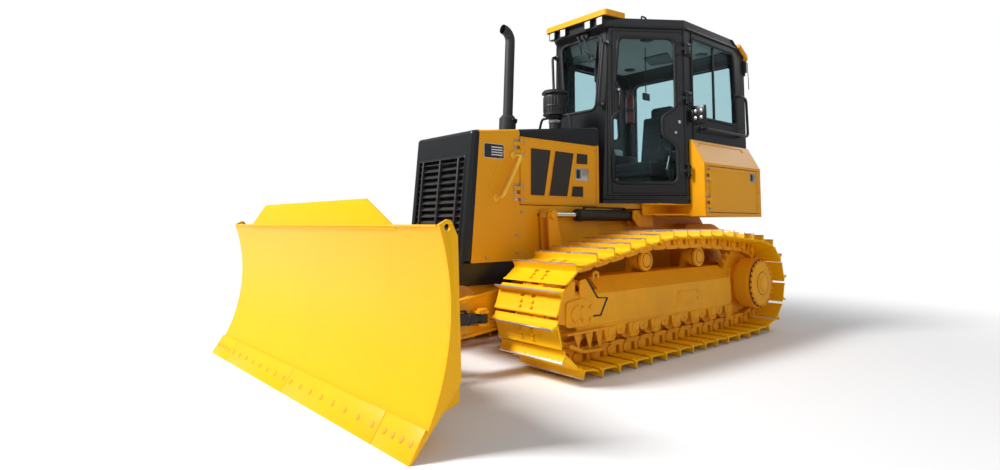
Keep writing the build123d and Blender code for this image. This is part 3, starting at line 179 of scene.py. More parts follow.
def block(name, low, high, edge=0.004, segments=2):
    """A box between two corners, with rounded edges."""
    low, high = Vector(low), Vector(high)
    clear()
    bpy.ops.mesh.primitive_cube_add(size=1, location=(low + high) / 2, scale=high - low)
    piece = bpy.context.object
    piece.name = name
    bpy.ops.object.transform_apply(location=True, rotation=True, scale=True)
    return soften(piece, edge, segments)


def drum(name, start, end, radius, edge=0.003, steps=32, end_radius=None):
    """A round bar or cone between two points."""
    start, end = Vector(start), Vector(end)
    clear()
    bpy.ops.mesh.primitive_cone_add(
        vertices=steps,
        radius1=radius,
        radius2=radius if end_radius is None else end_radius,
        depth=(end - start).length,
        location=(start + end) / 2,
        rotation=(end - start).to_track_quat("Z", "Y").to_euler(),
    )
    piece = bpy.context.object
    piece.name = name
    bpy.ops.object.transform_apply(location=True, rotation=True, scale=True)
    return soften(piece, edge)


def line_of(axis):
    """An axis letter or a vector, as a unit vector."""
    return ALONG[axis] if isinstance(axis, str) else Vector(axis).normalized()


def lathe(name, start, axis, profile, steps=40, edge=0.0):
    """Spins (along, radius) stations about a line through start."""
    start = Vector(start)
    along = line_of(axis)
    side = along.orthogonal().normalized()
    stations = [(profile[0][0], 0.0)] + list(profile) + [(profile[-1][0], 0.0)]
    piece = outline_points(name, len(stations), "NOTHING")
    for vertex, (reach, radius) in zip(piece.data.vertices, stations):
        vertex.co = start + along * reach + side * radius
    bpy.ops.object.mode_set(mode="EDIT")
    bpy.ops.mesh.select_all(action="SELECT")
    bpy.ops.mesh.spin(steps=steps, angle=math.tau, center=start, axis=along)
    bpy.ops.mesh.select_all(action="SELECT")
    bpy.ops.mesh.remove_doubles(threshold=MERGE)
    bpy.ops.mesh.dissolve_degenerate(threshold=MERGE)
    bpy.ops.mesh.select_all(action="SELECT")
    bpy.ops.mesh.normals_make_consistent(inside=False)
    bpy.ops.object.mode_set(mode="OBJECT")
    return soften(piece, edge)


def tube(name, points, radius, closed=False, bend=0.0, sides=4):
    """A bent round bar; bend rounds its corners."""
    clear()
    path = [Vector(p) for p in points]
    if bend:
        path = rounded_path(path, bend, closed)
    bpy.ops.curve.primitive_nurbs_path_add()
    line = bpy.context.object
    line.name = name
    line.location = (0, 0, 0)
    line.data.splines.clear()
    spline = line.data.splines.new("POLY")
    spline.points.add(len(path) - 1)
    for point, place in zip(spline.points, path):
        point.co = (*place, 1)
    spline.use_cyclic_u = closed
    line.data.dimensions = "3D"
    line.data.bevel_depth = radius
    line.data.bevel_resolution = sides
    line.data.use_fill_caps = True
    bpy.ops.object.convert(target="MESH")
    return soften(bpy.context.object, 0)


def rounded_path(path, bend, closed=False, steps=6):
    """Rounds each corner of a run of points; no corner takes up half of an edge."""
    count = len(path)
    out = []
    for i, here in enumerate(path):
        if not closed and i in (0, count - 1):
            out.append(here)
            continue
        before, after = path[i - 1], path[(i + 1) % count]
        reach = min(bend, (here - before).length * 0.45, (after - here).length * 0.45)
        first = here + (before - here).normalized() * reach
        last = here + (after - here).normalized() * reach
        for k in range(steps + 1):
            t = k / steps
            out.append(first * (1 - t) ** 2 + here * 2 * t * (1 - t) + last * t * t)
    return out


def rounded(outline, bend, steps=6, closed=True):
    """Rounds the corners of a flat outline, or the inner corners of an open flat line."""
    path = rounded_path([Vector((a, b, 0)) for a, b in outline], bend, closed, steps)
    return [(p.x, p.y) for p in path]


def rectangle(a0, a1, b0, b1):
    return [(a0, b0), (a1, b0), (a1, b1), (a0, b1)]


def card(a0, a1, b0, b1, bend, steps=6):
    """A rectangle with rounded corners."""
    return rounded(rectangle(a0, a1, b0, b1), bend, steps)


def circle(a, b, radius, count, phase=0.0):
    """Flat points round a circle."""
    turns = [phase + k * math.tau / count for k in range(count)]
    return [(a + radius * math.cos(turn), b + radius * math.sin(turn)) for turn in turns]


def hoop(name, x, y, z, radius, count, thickness):
    """A thin ring that lies on a face looking along X."""
    return tube(name, [(x, a, b) for a, b in circle(y, z, radius, count)], thickness, closed=True, sides=2)


def join(name, *pieces):
    clear()
    for piece in pieces:
        piece.select_set(True)
    bpy.context.view_layer.objects.active = pieces[0]
    if len(pieces) > 1:
        bpy.ops.object.join()
    pieces[0].name = name
    return pieces[0]


def copies(name, master, places):
    """Copies of one piece, each with its own mesh, joined; a place is a matrix or an offset."""
    out = []
    for place in places:
        twin = duplicate(master)
        twin.data.transform(place if isinstance(place, Matrix) else Matrix.Translation(place))
        out.append(twin)
    bpy.data.objects.remove(master)
    return join(name, *out)


def mirrored(piece, name):
    """A mirror image on the machine's other side."""
    twin = duplicate(piece)
    twin.name = name
    twin.data.transform(Matrix.Scale(-1, 4, (1, 0, 0)))
    flip(twin)
    return twin


def cut(piece, cutter):
    """Takes one shape out of another."""
    choose(piece)
    hole = piece.modifiers.new("hole", "BOOLEAN")
    hole.operation = "DIFFERENCE"
    hole.solver = "EXACT"
    hole.object = cutter
    bpy.ops.object.modifier_apply(modifier=hole.name)
    bpy.data.objects.remove(cutter)
    return piece


def dress(piece, finish, body="chassis"):
    """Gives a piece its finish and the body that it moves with."""
    piece.data.materials.clear()
    piece.data.materials.append(bpy.data.materials[finish])
    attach(piece, body)
    return piece


def both(piece, finish, body="chassis"):
    """Dresses a left piece and its mirror image; a body name may hold {side}."""
    name = piece.name
    piece.name = name + "_left"
    twin = mirrored(piece, name + "_right")
    dress(piece, finish, body.format(side="left"))
    dress(twin, finish, body.format(side="right"))


def bolt_heads(name, places, axis, radius, height, sides=6):
    """Bolt heads standing on a face, one at each place."""
    master = drum(name, (0, 0, 0), line_of(axis) * height, radius, edge=radius * 0.12, steps=sides)
    return copies(name, master, [Vector(p) for p in places])


def ring_of_bolts(name, x, y, z, radius, count, head=0.01, height=0.009, phase=0.0):
    """Bolt heads round a circle on a face that looks along X."""
    places = [(x, a, b) for a, b in circle(y, z, radius, count, phase)]
    return bolt_heads(name, places, "X", head, height)


# ---------------------------------------------------------------- finishes
def feed(tree, node, feeds):
    """Gives a node's inputs their values, or links them to output sockets."""
    for key, value in feeds:
        if isinstance(value, bpy.types.NodeSocket):
            tree.links.new(value, node.inputs[key])
        else:
            node.inputs[key].default_value = value
    return node


def add_node(tree, kind, feeds=(), **settings):
    """A node with its settings; feeds are (input, value or output socket)."""
    node = tree.nodes.new(kind)
    for key, value in settings.items():
        setattr(node, key, value)
    return feed(tree, node, feeds)


def place_of(tree):
    """The shaded point, in the piece's own space."""
    return add_node(tree, "ShaderNodeTexCoord").outputs["Object"]


def noise(tree, where, scale, detail, rough=0.5):
    feeds = [("Vector", where), ("Scale", scale), ("Detail", detail), ("Roughness", rough)]
    return add_node(tree, "ShaderNodeTexNoise", feeds).outputs["Fac"]


def remap(tree, value, start, end, low=0.0, high=1.0, **settings):
    """A value between start and end, drawn out between low and high."""
    feeds = [("Value", value), ("From Min", start), ("From Max", end), ("To Min", low), ("To Max", high)]
    return add_node(tree, "ShaderNodeMapRange", feeds, **settings).outputs[0]


def maths(tree, operation, a, b, **settings):
    return add_node(tree, "ShaderNodeMath", [(0, a), (1, b)], operation=operation, **settings).outputs[0]


def mixed(tree, mask, first, second):
    """The first colour where the mask is nought, and the second where it is one."""
    return add_node(tree, "ShaderNodeMix", [(0, mask), (6, first), (7, second)], data_type="RGBA").outputs[2]


def bumped(tree, strength, depth, height):
    feeds = [("Strength", strength), ("Distance", depth), ("Height", height)]
    return add_node(tree, "ShaderNodeBump", feeds).outputs["Normal"]


def shader_group(name, inputs, outputs):
    group = bpy.data.node_groups.new(name, "ShaderNodeTree")
    for label, kind, value in inputs:
        socket = group.interface.new_socket(name=label, in_out="INPUT", socket_type="NodeSocket" + kind)
        socket.default_value = value
    for label, kind in outputs:
        group.interface.new_socket(name=label, in_out="OUTPUT", socket_type="NodeSocket" + kind)
    return group, group.nodes.new("NodeGroupInput").outputs, group.nodes.new("NodeGroupOutput")


def use_group(tree, name, feeds):
    return add_node(tree, "ShaderNodeGroup", feeds, node_tree=bpy.data.node_groups[name]).outputs


def build_dust():
    """Dust that settles low down and in patches."""
    group, given, out = shader_group(
        "dust",
        [
            ("Color", "Color", (0.8, 0.4, 0.01, 1)),
            ("Dust Color", "Color", (0.4, 0.3, 0.2, 1)),
            ("Amount", "Float", 0.3),
            ("Height", "Float", 0.8),
            ("Scale", "Float", 6.0),
            ("Clean Roughness", "Float", 0.35),
        ],
        [("Color", "Color"), ("Roughness", "Float")],
    )
    where = place_of(group)
    level = add_node(group, "ShaderNodeSeparateXYZ", [("Vector", where)]).outputs["Z"]
    low = remap(group, level, given["Height"], 0.0, 0.12, 1.0)
    patches = remap(group, noise(group, where, given["Scale"], 8.0, 0.62), 0.38, 0.68, 0.15, 1.0)
    specks = remap(group, noise(group, where, 90.0, 3.0), 0.3, 0.7, 0.7, 1.1)
    laid = maths(group, "MULTIPLY", maths(group, "MULTIPLY", low, patches), specks)
    mask = maths(group, "MULTIPLY", laid, given["Amount"], use_clamp=True)
    tint = mixed(group, mask, given["Color"], given["Dust Color"])
    rough = remap(group, mask, 0.0, 1.0, given["Clean Roughness"], 0.9)
    feed(group, out, [("Color", tint), ("Roughness", rough)])


def build_skin():
    """Fine ripple of a sprayed or cast surface."""
    group, given, out = shader_group(
        "skin",
        [("Scale", "Float", 120.0), ("Depth", "Float", 0.0004), ("Strength", "Float", 0.4)],
        [("Normal", "Vector")],
    )
    ripple = noise(group, place_of(group), given["Scale"], 2.0)
    feed(group, out, [("Normal", bumped(group, given["Strength"], given["Depth"], ripple))])


def build_shades():
    """Darker and lighter shades of one colour, drawn out along Z."""
    group, given, out = shader_group(
        "shades",
        [("Color", "Color", (0.5, 0.5, 0.5, 1)), ("Spread", "Float", 0.15), ("Scale", "Float", 5.0)],
        [("Color", "Color"), ("Value", "Float")],
    )
    drawn = add_node(group, "ShaderNodeMapping", [("Vector", place_of(group)), ("Scale", (1.0, 1.0, 0.35))])
    level = noise(group, drawn.outputs[0], given["Scale"], 6.0)
    amount = maths(group, "MULTIPLY", remap(group, level, 0.0, 1.0, -1.0, 1.0), given["Spread"])
    value = maths(group, "ADD", amount, 1.0)
    shade = add_node(group, "ShaderNodeHueSaturation", [("Value", value), ("Color", given["Color"])])
    feed(group, out, [("Color", shade.outputs[0]), ("Value", level)])


def material(name):
    """A new material's node tree and its main shader."""
    made = bpy.data.materials.new(name)
    made.use_nodes = True
    return made.node_tree, made.node_tree.nodes["Principled BSDF"]


def finish(name, colour, rough, dust=0.0, height=0.8, dust_colour=(0.36, 0.25, 0.14), metal=0.0, coat=0.0,
           grain=(120.0, 0.0004, 0.4), spread=0.08, sheen=0.5):
    """A painted, cast or moulded surface: shades of one colour, dust over it and a fine ripple."""
    tree, surface = material(name)
    shades = use_group(tree, "shades", [("Color", (*colour, 1)), ("Spread", spread)])
    layer = use_group(
        tree,
        "dust",
        [
            ("Color", shades["Color"]),
            ("Dust Color", (*dust_colour, 1)),
            ("Amount", dust),
            ("Height", height),
            ("Clean Roughness", rough),
        ],
    )
    skin = use_group(tree, "skin", zip(("Scale", "Depth", "Strength"), grain))
    feed(
        tree,
        surface,
        [
            ("Base Color", layer["Color"]),
            ("Roughness", layer["Roughness"]),
            ("Normal", skin["Normal"]),
            ("Metallic", metal),
            ("Coat Weight", coat),
            ("Coat Roughness", 0.08),
            ("Specular IOR Level", sheen),
        ],
    )
    return tree, surface


def pane(name, tint, rough=0.02):
    """Tinted glass."""
    tree, surface = material(name)
    smear = use_group(tree, "shades", [("Scale", 3.0)])["Value"]
    rough_level = remap(tree, smear, 0.0, 1.0, rough, rough * 3)
    feeds = [("Base Color", (*tint, 1)), ("Transmission Weight", 1.0), ("IOR", 1.12), ("Roughness", rough_level)]
    feed(tree, surface, feeds)


def worn_paint(name, colour, dust, worn):
    """Track paint: the attribute named worn bares the steel along the grousers' tips."""
    tree, surface = finish(
        name, colour, 0.46, dust, 1.1, colours().grime, grain=(70.0, 0.0008, 0.5), spread=0.1, sheen=0.15
    )
    paint = surface.inputs["Base Color"].links[0].from_socket
    rough = surface.inputs["Roughness"].links[0].from_socket
    bare = add_node(tree, "ShaderNodeAttribute", attribute_name="worn").outputs["Fac"]
    ragged = maths(tree, "ADD", bare, noise(tree, place_of(tree), 45.0, 4.0))
    mask = remap(tree, ragged, 1.15, 1.32)
    shine = add_node(tree, "ShaderNodeMix", [(0, mask), (2, rough), (3, 0.32)]).outputs[0]
    metal = maths(tree, "MULTIPLY", mask, 0.85)
    tint = mixed(tree, mask, paint, (*worn, 1))
    feed(tree, surface, [("Base Color", tint), ("Roughness", shine), ("Metallic", metal)])


def mesh_screen(name):
    """Perforated black sheet: rows of round holes, in the panel's own plane."""
    tree, surface = finish(name, (0.016, 0.014, 0.012), 0.55, 0.1, 1.7)
    parts = add_node(tree, "ShaderNodeSeparateXYZ", [("Vector", place_of(tree))]).outputs
    flat = add_node(tree, "ShaderNodeCombineXYZ", [("X", parts["Y"]), ("Y", parts["Z"])]).outputs[0]
    cells = add_node(tree, "ShaderNodeTexVoronoi", [("Vector", flat), ("Scale", 110.0), ("Randomness", 0.0)])
    holes = remap(tree, cells.outputs["Distance"], 0.28, 0.36)
    tint = mixed(tree, holes, (0.003, 0.003, 0.003, 1), (0.035, 0.03, 0.026, 1))
    feed(tree, surface, [("Base Color", tint), ("Normal", bumped(tree, 0.7, 0.002, holes))])


def lens(name, tint):
    """Ribbed lamp lens over a bright reflector."""
    tree, surface = finish(name, tint, 0.12, coat=1.0, metal=0.35)
    feeds = [("Vector", place_of(tree)), ("Scale", 55.0)]
    ribs = add_node(tree, "ShaderNodeTexWave", feeds, bands_direction="Z").outputs["Fac"]
    feed(tree, surface, [("Normal", bumped(tree, 0.5, 0.003, ribs))])


def tinted(colour, *shares):
    """A colour times a share for each channel, at most full."""
    return tuple(min(value * share, 1) for value, share in zip(colour, shares))


class DOZER_OT_finishes(bpy.types.Operator):
    """Makes every finish and gives the fixed nodes theirs"""

    bl_idname = "dozer.finishes"
    bl_label = "Finishes"

    def execute(self, context):
        build_dust()
        build_skin()
        build_shades()
        look = colours()
        paint, charcoal = tuple(look.paint), tuple(look.charcoal)
        soot = (0.2, 0.18, 0.15)
        finish("yellow paint", paint, 0.34, 0.04, 1.4, coat=0.04, spread=0.035, sheen=0.3)
        finish(
            "running gear paint", tinted(paint, 1.08, 1.08, 1.08), 0.48, 0.36, 1.0, look.grime, spread=0.1, sheen=0.25
        )
        worn_paint("track paint", tinted(paint, 1.14, 1.36, 0.5), 0.06, (0.62, 0.58, 0.55))
        finish(
            "blade paint", tinted(paint, 1.05, 1.18, 0.6), 0.4, 0.02, 0.9,
            coat=0.02, spread=0.03, grain=(60.0, 0.0006, 0.4), sheen=0.2,
        )
        # The grab handle's paint is the yellow paint made lighter and yellower: painted sunlight on the handle.
        finish("handle paint", tinted(paint, 1.15, 1.6, 12), 0.35, 0.02, coat=0.1, spread=0.03)
        finish("blade bolt", tinted(paint, 0.94, 0.98, 0.6), 0.42, 0.15, 0.9, spread=0.05)
        finish(
            "charcoal paint", tinted(charcoal, 0.52, 0.52, 0.52), 0.32, 0.03, 2.0, soot,
            coat=0.06, spread=0.1, sheen=0.35,
        )
        finish("grille paint", tinted(charcoal, 1.2, 1.2, 1.2), 0.45, 0.35, 1.5, (0.2, 0.17, 0.13), spread=0.15)
        finish("black plastic", (0.012, 0.012, 0.013), 0.5, 0.05, 2.0, soot, grain=(260.0, 0.0004, 0.5))
        finish("rubber", (0.01, 0.01, 0.011), 0.62, 0.05, 2.0, soot, grain=(400.0, 0.0003, 0.4))
        finish("exhaust steel", (0.03, 0.031, 0.033), 0.52, 0.1, 3.0, (0.12, 0.08, 0.06), metal=0.3, spread=0.2)
        finish("stainless", (0.55, 0.55, 0.53), 0.28, metal=1.0, grain=(300.0, 0.0002, 0.3))
        finish("chrome", (0.8, 0.8, 0.8), 0.07, metal=1.0, spread=0.02, grain=(400.0, 0.0001, 0.1))
        finish("cast iron", (0.05, 0.05, 0.05), 0.6, 0.2, 1.5, metal=0.3)
        finish("seat cloth", (0.035, 0.036, 0.04), 0.9, grain=(700.0, 0.001, 0.9), spread=0.2)
        finish("lining", (0.5, 0.5, 0.47), 0.85, grain=(500.0, 0.001, 0.7), spread=0.06)
        finish("red enamel", (0.22, 0.008, 0.008), 0.35, coat=0.3)
        finish("white enamel", (0.75, 0.75, 0.73), 0.4)
        pane("tinted glass", tuple(look.glass))
        mesh_screen("vent screen")
        lens("clear lens", (0.8, 0.81, 0.8))
        given = {
            "yellow paint": (
                "engine_cowl hood_front engine_door_* side_box box_door fuel_tank"
                " deck step_* main_frame push_frame blade_carrier roof_visor"
            ),
            "running gear paint": "final_drive_* track_frame_* idler_* rollers_* sprocket_*",
            "blade paint": "blade cutting_edge tilt_bracket",
            "track paint": "track_*",
            "charcoal paint": "hood_top radiator_guard cab_shell cab_door_* cab_roof",
            "grille paint": "grille",
            "black plastic": "precleaner console lift_barrel_* work_lights angle_barrel_* tilt_barrel",
            "cast iron": "engine_block",
            "exhaust steel": "exhaust_stack",
            "tinted glass": "door_glass_* side_glass_* rear_glass windscreen",
            "chrome": "lift_rod_* angle_rod_* tilt_rod",
            "seat cloth": "seat",
        }
        for name, nodes in given.items():
            for node in nodes.split():
                for side in ("left", "right") if "*" in node else ("",):
                    for place in NODES[node.replace("*", side)].material_slots:
                        place.material = bpy.data.materials[name]
        return {"FINISHED"}


# ---------------------------------------------------------------- tracks
SHOE = {"rise": 0.036, "plate": 0.012, "grouser": 0.05, "place": 0.022, "width": 0.57}
LINK_PITCH = 0.1724
CARRIERS = ((0.305, 0.686), (1.046, 0.686))
ROLLER_FIRST, ROLLER_LAST, ROLLER_COUNT = -0.262, 1.316, 7


def belt(circles):
    """The tight line round circles (y, z, radius), and how far along it each of its points is."""
    cloud = sorted(point for y, z, radius in circles for point in circle(y, z, radius, 1440))

    def chain(points):
        line = []
        for p in points:
            while len(line) > 1:
                (ay, az), (by, bz) = line[-2], line[-1]
                if (by - ay) * (p[1] - az) - (bz - az) * (p[0] - ay) > 0:
                    break
                line.pop()
            line.append(p)
        return line[:-1]

    ring = chain(cloud) + chain(reversed(cloud))
    ring.append(ring[0])
    marks = [0.0]
    for a, b in zip(ring, ring[1:]):
        marks.append(marks[-1] + math.dist(a, b))
    return ring, marks


def belt_at(ring, marks, along):
    along %= marks[-1]
    high = bisect.bisect_right(marks, along, 1, len(marks) - 1)
    a, b = ring[high - 1], ring[high]
    t = (along - marks[high - 1]) / (marks[high] - marks[high - 1])
    return (a[0] + (b[0] - a[0]) * t, a[1] + (b[1] - a[1]) * t)


def centre(node):
    """The middle of a fixed node's box."""
    low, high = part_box(node)
    return [(a + b) / 2 for a, b in zip(low, high)]


def link_frames(side):
    """A matrix for each link: its own Y runs along it, its own Z points away from the ground wheel."""
    idler, wheel = centre("idler_left"), centre("sprocket_left")
    ring, marks = belt(
        [
            (*idler[1:], 0.288),
            (*wheel[1:], 0.326),
            *((y, z, 0.134) for y, z in CARRIERS),
            (ROLLER_FIRST, 0.234, 0.136),
            (ROLLER_LAST, 0.234, 0.136),
        ]
    )
    count = sizes().shoes
    pitch = marks[-1] / count
    tips = sorted(v.co.y for v in NODES["track_left"].data.vertices if v.co.z < 0.0006 and 0 < v.co.y < 1.0)
    lead = (tips[0] + tips[1]) / 2 - SHOE["place"]
    best = min(range(len(ring) - 1), key=lambda k: abs(ring[k][0] - lead) + abs(ring[k][1] - 0.098))
    start = marks[best] + (lead - ring[best][0])
    middle = centre("track_left")[0]
    out = []
    for k in range(count):
        a = belt_at(ring, marks, start + pitch * k)
        b = belt_at(ring, marks, start + pitch * (k + 1))
        along = Vector((0, b[0] - a[0], b[1] - a[1])).normalized()
        away = Vector((0, along.z, -along.y))
        turn = Matrix((Vector((side, 0, 0)), along, away)).transposed().to_4x4()
        at = Matrix.Translation((side * middle, a[0], a[1])) @ turn
        stretch = math.dist(a, b) / LINK_PITCH
        out.append(at @ Matrix.Diagonal((1, stretch, 1, 1)) if abs(stretch - 1) > 1e-4 else at)
    return out


def shoe_master():
    """One shoe: a bent plate with a worn grouser, two mud slots and four bolts."""
    rise, tall, place = SHOE["rise"], SHOE["grouser"], SHOE["place"]
    top = rise + SHOE["plate"]
    outline = [
        (-0.01, rise - 0.012), (-0.004, rise - 0.01), (0.008, rise), (0.14, rise), (0.16, rise + 0.008),
        (0.166, rise + 0.014), (0.158, rise + 0.019), (0.146, top + 0.003), (0.132, top),
        (place + 0.017, top), (place + 0.009, top + 0.012), (place + 0.0055, top + tall),
        (place - 0.0055, top + tall), (place - 0.009, top + 0.012), (place - 0.014, top),
        (-0.012, rise - 0.002),
    ]
    shoe = plate("track_shoe", outline, "X", -SHOE["width"] / 2, SHOE["width"])
    for x in (-0.05, 0.05):
        slot = [(a + x, b + 0.055) for a, b in card(-0.02, 0.02, -0.011, 0.011, 0.009, 4)]
        cut(shoe, plate("slot", slot, "Z", rise - 0.02, 0.06))
    soften(shoe, 0.0012, 1)
    worn = shoe.data.attributes.new("worn", "FLOAT", "POINT")
    for vertex, value in zip(shoe.data.vertices, worn.data):
        value.value = max(0.0, min(1.0, (vertex.co.z - top - tall * 0.55) / (tall * 0.45)))
    places = [(x, y, top) for x in (-0.052, 0.052) for y in (0.09, 0.124)]
    return join("track_shoe", shoe, bolt_heads("shoe_bolts", places, "Z", 0.0135, 0.01))


def link_master():
    """One link: two pairs of windowed bars, a pin with bosses and a bushing."""
    rise = SHOE["rise"]
    bar = []
    for x0, x1, first, last in (
        (-0.077, -0.055, 0.0, 0.172), (-0.055, -0.032, 0.004, 0.168),
        (0.032, 0.055, 0.004, 0.168), (0.055, 0.077, 0.0, 0.172),
    ):
        outline = [
            (first - 0.026, -0.012), (first - 0.018, -0.036), (0.03, -0.056), (0.142, -0.056),
            (last + 0.01, -0.036), (last + 0.024, -0.01), (last + 0.016, 0.022), (0.14, rise),
            (0.106, rise), (0.104, -0.022), (0.068, -0.022), (0.066, rise), (0.032, rise), (first - 0.018, 0.02),
        ]
        bar.append(plate("bar", outline, "X", x0, x1 - x0, 0.003, 1))
    bar.append(drum("pin", (-0.094, 0, 0), (0.094, 0, 0), 0.021, 0.003, 20))
    for x, out in ((-0.077, -0.013), (0.077, 0.013)):
        bar.append(drum("boss", (x, 0, 0), (x + out, 0, 0), 0.036, 0.005, 24))
    bar.append(drum("bushing", (-0.034, 0, 0), (0.034, 0, 0), 0.029, 0.0, 20))
    return join("track_link", *bar)


class DOZER_OT_tracks(bpy.types.Operator):
    """Shoes with bent edges, mud slots, bolts and worn grousers, and the link chain with its pins"""

    bl_idname = "dozer.tracks"
    bl_label = "Tracks"

    def execute(self, context):
        shoe, link = shoe_master(), link_master()
        for name, side in SIDES:
            frames = link_frames(side)
            shoes = copies(f"track_shoes_{name}", duplicate(shoe), frames)
            links = copies(f"track_links_{name}", duplicate(link), frames)
            if side < 0:
                flip(shoes)
                flip(links)
            dress(shoes, "track paint")
            dress(links, "running gear paint")
            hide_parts(f"track_{name}")
        bpy.data.objects.remove(shoe)
        bpy.data.objects.remove(link)
        return {"FINISHED"}


# ---------------------------------------------------------------- outlines taken from the fixed nodes
DOOR_OUT = Vector((0.8032, -0.5957, 0)).normalized()
DOOR_SKIN = 0.0165
WINDSCREEN_LEAN = 0.0368
HINGE_HALF = 0.062


def rim(node, outward, out=0.0):
    """The outline of a pane's face that looks outward, as points in order, moved out from it."""
    outward = Vector(outward).normalized()
    mesh = bmesh.new()
    mesh.from_mesh(NODES[node].data)
    bmesh.ops.remove_doubles(mesh, verts=mesh.verts, dist=MERGE)
    mesh.normal_update()
    faces = [face for face in mesh.faces if face.normal.dot(outward) > 0.99]
    inside = set(faces)
    steps = {}
    for face in faces:
        for loop in face.loops:
            if any(other not in inside for other in loop.edge.link_faces):
                steps[loop.vert] = loop.link_loop_next.vert
    start = here = next(iter(steps))
    points = []
    while True:
        points.append(here.co.copy() + outward * out)
        here = steps[here]
        if here is start:
            break
    mesh.free()
    return points


def door_frame():
    """The left door's own frame: origin at its rear lower corner, then forward, out and up."""
    pane = rim("door_glass_left", DOOR_OUT)
    out = max(pane, key=lambda p: p.dot(DOOR_OUT)).dot(DOOR_OUT)
    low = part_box("cab_door_left")[0]
    pivot = Vector(JOINTS["cab_door_left"])
    ahead = Vector((-DOOR_OUT.y, DOOR_OUT.x, 0))
    ahead = ahead if ahead.y < 0 else -ahead
    face = out + DOOR_SKIN
    foot = pivot - DOOR_OUT * (pivot.dot(DOOR_OUT) - face)
    return Vector((foot.x, foot.y, 0)), ahead, low[2]


def on_door(corner, ahead, run, z, out=0.0):
    place = corner + ahead * run + DOOR_OUT * out
    return Vector((place.x, place.y, z))


def hinge_heights():
    """The middles of the cab door's three hinges."""
    low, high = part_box("cab_door_left")
    return (low[2] + 0.213, low[2] + (high[2] - low[2]) * 0.585, high[2] - 0.164)


# ---------------------------------------------------------------- cab
class DOZER_OT_cab_seals(bpy.types.Operator):
    """Rubber seals round every pane and the side windows' middle bars"""

    bl_idname = "dozer.cab_seals"
    bl_label = "Window seals"

    def execute(self, context):
        seal = sizes().seal
        lean = Vector((0, -1, WINDSCREEN_LEAN)).normalized()
        for name, node, outward, out in (
            ("windscreen_seal", "windscreen", lean, 0.019),
            ("rear_glass_seal", "rear_glass", (0, 1, 0), 0.019),
        ):
            dress(tube(name, rim(node, outward, out), seal, closed=True, sides=3), "rubber")
        ring = tube("side_glass_seal", rim("side_glass_left", (1, 0, 0), 0.02), seal, closed=True, sides=3)
        low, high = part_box("side_glass_left")
        middle = (low[1] + high[1]) / 2
        bar = block(
            "bar", (low[0] + 0.003, middle - 0.014, low[2] + 0.01), (high[0] + 0.012, middle + 0.014, high[2] - 0.008),
            0.003,
        )
        both(join("side_window_seal", ring, bar), "rubber")
        outline = rim("door_glass_left", DOOR_OUT, 0.016)
        both(tube("door_seal", outline, seal * 1.1, closed=True, sides=3), "rubber", "cab_door_{side}")
        return {"FINISHED"}


class DOZER_OT_cab_doors(bpy.types.Operator):
    """Door skins: pressed edge, handle and its plate, catch, hinges with bolts and a gas strut"""

    bl_idname = "dozer.cab_doors"
    bl_label = "Cab doors"

    def execute(self, context):
        corner, ahead, low = door_frame()

        def spot(run, z, out=0.0):
            return on_door(corner, ahead, run, z, out)

        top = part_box("cab_door_left")[1][2]
        wide = 0.665
        edge = [
            spot(run, z, 0.001)
            for run, z in ((0.022, low + 0.02), (wide, low + 0.02), (wide - 0.012, top - 0.018), (0.022, top - 0.018))
        ]
        both(tube("door_edge", edge, 0.005, closed=True, bend=0.02, sides=2), "charcoal paint", "cab_door_{side}")
        mid = low + (top - low) * 0.565
        grip = [
            spot(0.6, mid - 0.075, 0.004),
            spot(0.602, mid - 0.06, 0.04),
            spot(0.594, mid + 0.05, 0.044),
            spot(0.59, mid + 0.08, 0.006),
        ]
        pad = [
            spot(run, z, 0.0)
            for run, z in rounded(
                [(0.57, mid - 0.11), (0.64, mid - 0.1), (0.632, mid + 0.105), (0.566, mid + 0.095)], 0.03
            )
        ]
        handle = join(
            "door_handle",
            tube("grip", grip, 0.013, bend=0.03, sides=4),
            flat_plate("pad", pad, DOOR_OUT * 0.012, 0.003),
            drum("barrel", spot(0.606, mid + 0.085, 0.01), spot(0.606, mid + 0.085, 0.034), 0.022, 0.004),
        )
        both(handle, "black plastic", "cab_door_{side}")
        lock = drum("door_lock", spot(0.606, mid + 0.085, 0.03), spot(0.606, mid + 0.085, 0.04), 0.012, 0.002)
        both(lock, "stainless", "cab_door_{side}")
        catch = low + (top - low) * 0.413
        stub = join(
            "door_catch",
            drum("knob", spot(0.07, catch + 0.035, -0.004), spot(0.07, catch + 0.035, 0.022), 0.016, 0.005),
            drum("stud", spot(0.1, catch - 0.055, -0.004), spot(0.1, catch - 0.055, 0.01), 0.012),
        )
        both(stub, "stainless", "cab_door_{side}")
        leaves, bolts = [], []
        for height in hinge_heights():
            leaf = [
                spot(run, z, -0.002)
                for run, z in card(0.03, 0.104, height - HINGE_HALF, height + HINGE_HALF, 0.012)
            ]
            leaves.append(flat_plate("leaf", leaf, DOOR_OUT * 0.01, 0.002))
            for run in (0.052, 0.086):
                for z in (height - 0.036, height + 0.036):
                    start = spot(run, z, 0.006)
                    bolts.append(drum("bolt", start, start + DOOR_OUT * 0.009, 0.009, 0.001, 6))
        both(join("door_hinge_leaves", *leaves), "charcoal paint", "cab_door_{side}")
        both(join("door_hinge_bolts", *bolts), "black plastic", "cab_door_{side}")
        strut = [spot(0.09, catch - 0.05, -0.075), spot(0.165, low + 0.22, -0.075)]
        split = strut[0].lerp(strut[1], 0.62)
        barrel = join(
            "door_strut",
            drum("barrel", strut[0], split, 0.011, 0.002, 16),
            drum("mount", strut[0] - DOOR_OUT * 0.012, strut[0] + DOOR_OUT * 0.03, 0.016, 0.003, 16),
            drum("foot", strut[1] - DOOR_OUT * 0.012, strut[1] + DOOR_OUT * 0.03, 0.014, 0.003, 16),
        )
        both(barrel, "black plastic", "cab_door_{side}")
        both(drum("door_strut_rod", split, strut[1], 0.006, 0.0, 12), "chrome", "cab_door_{side}")
        return {"FINISHED"}


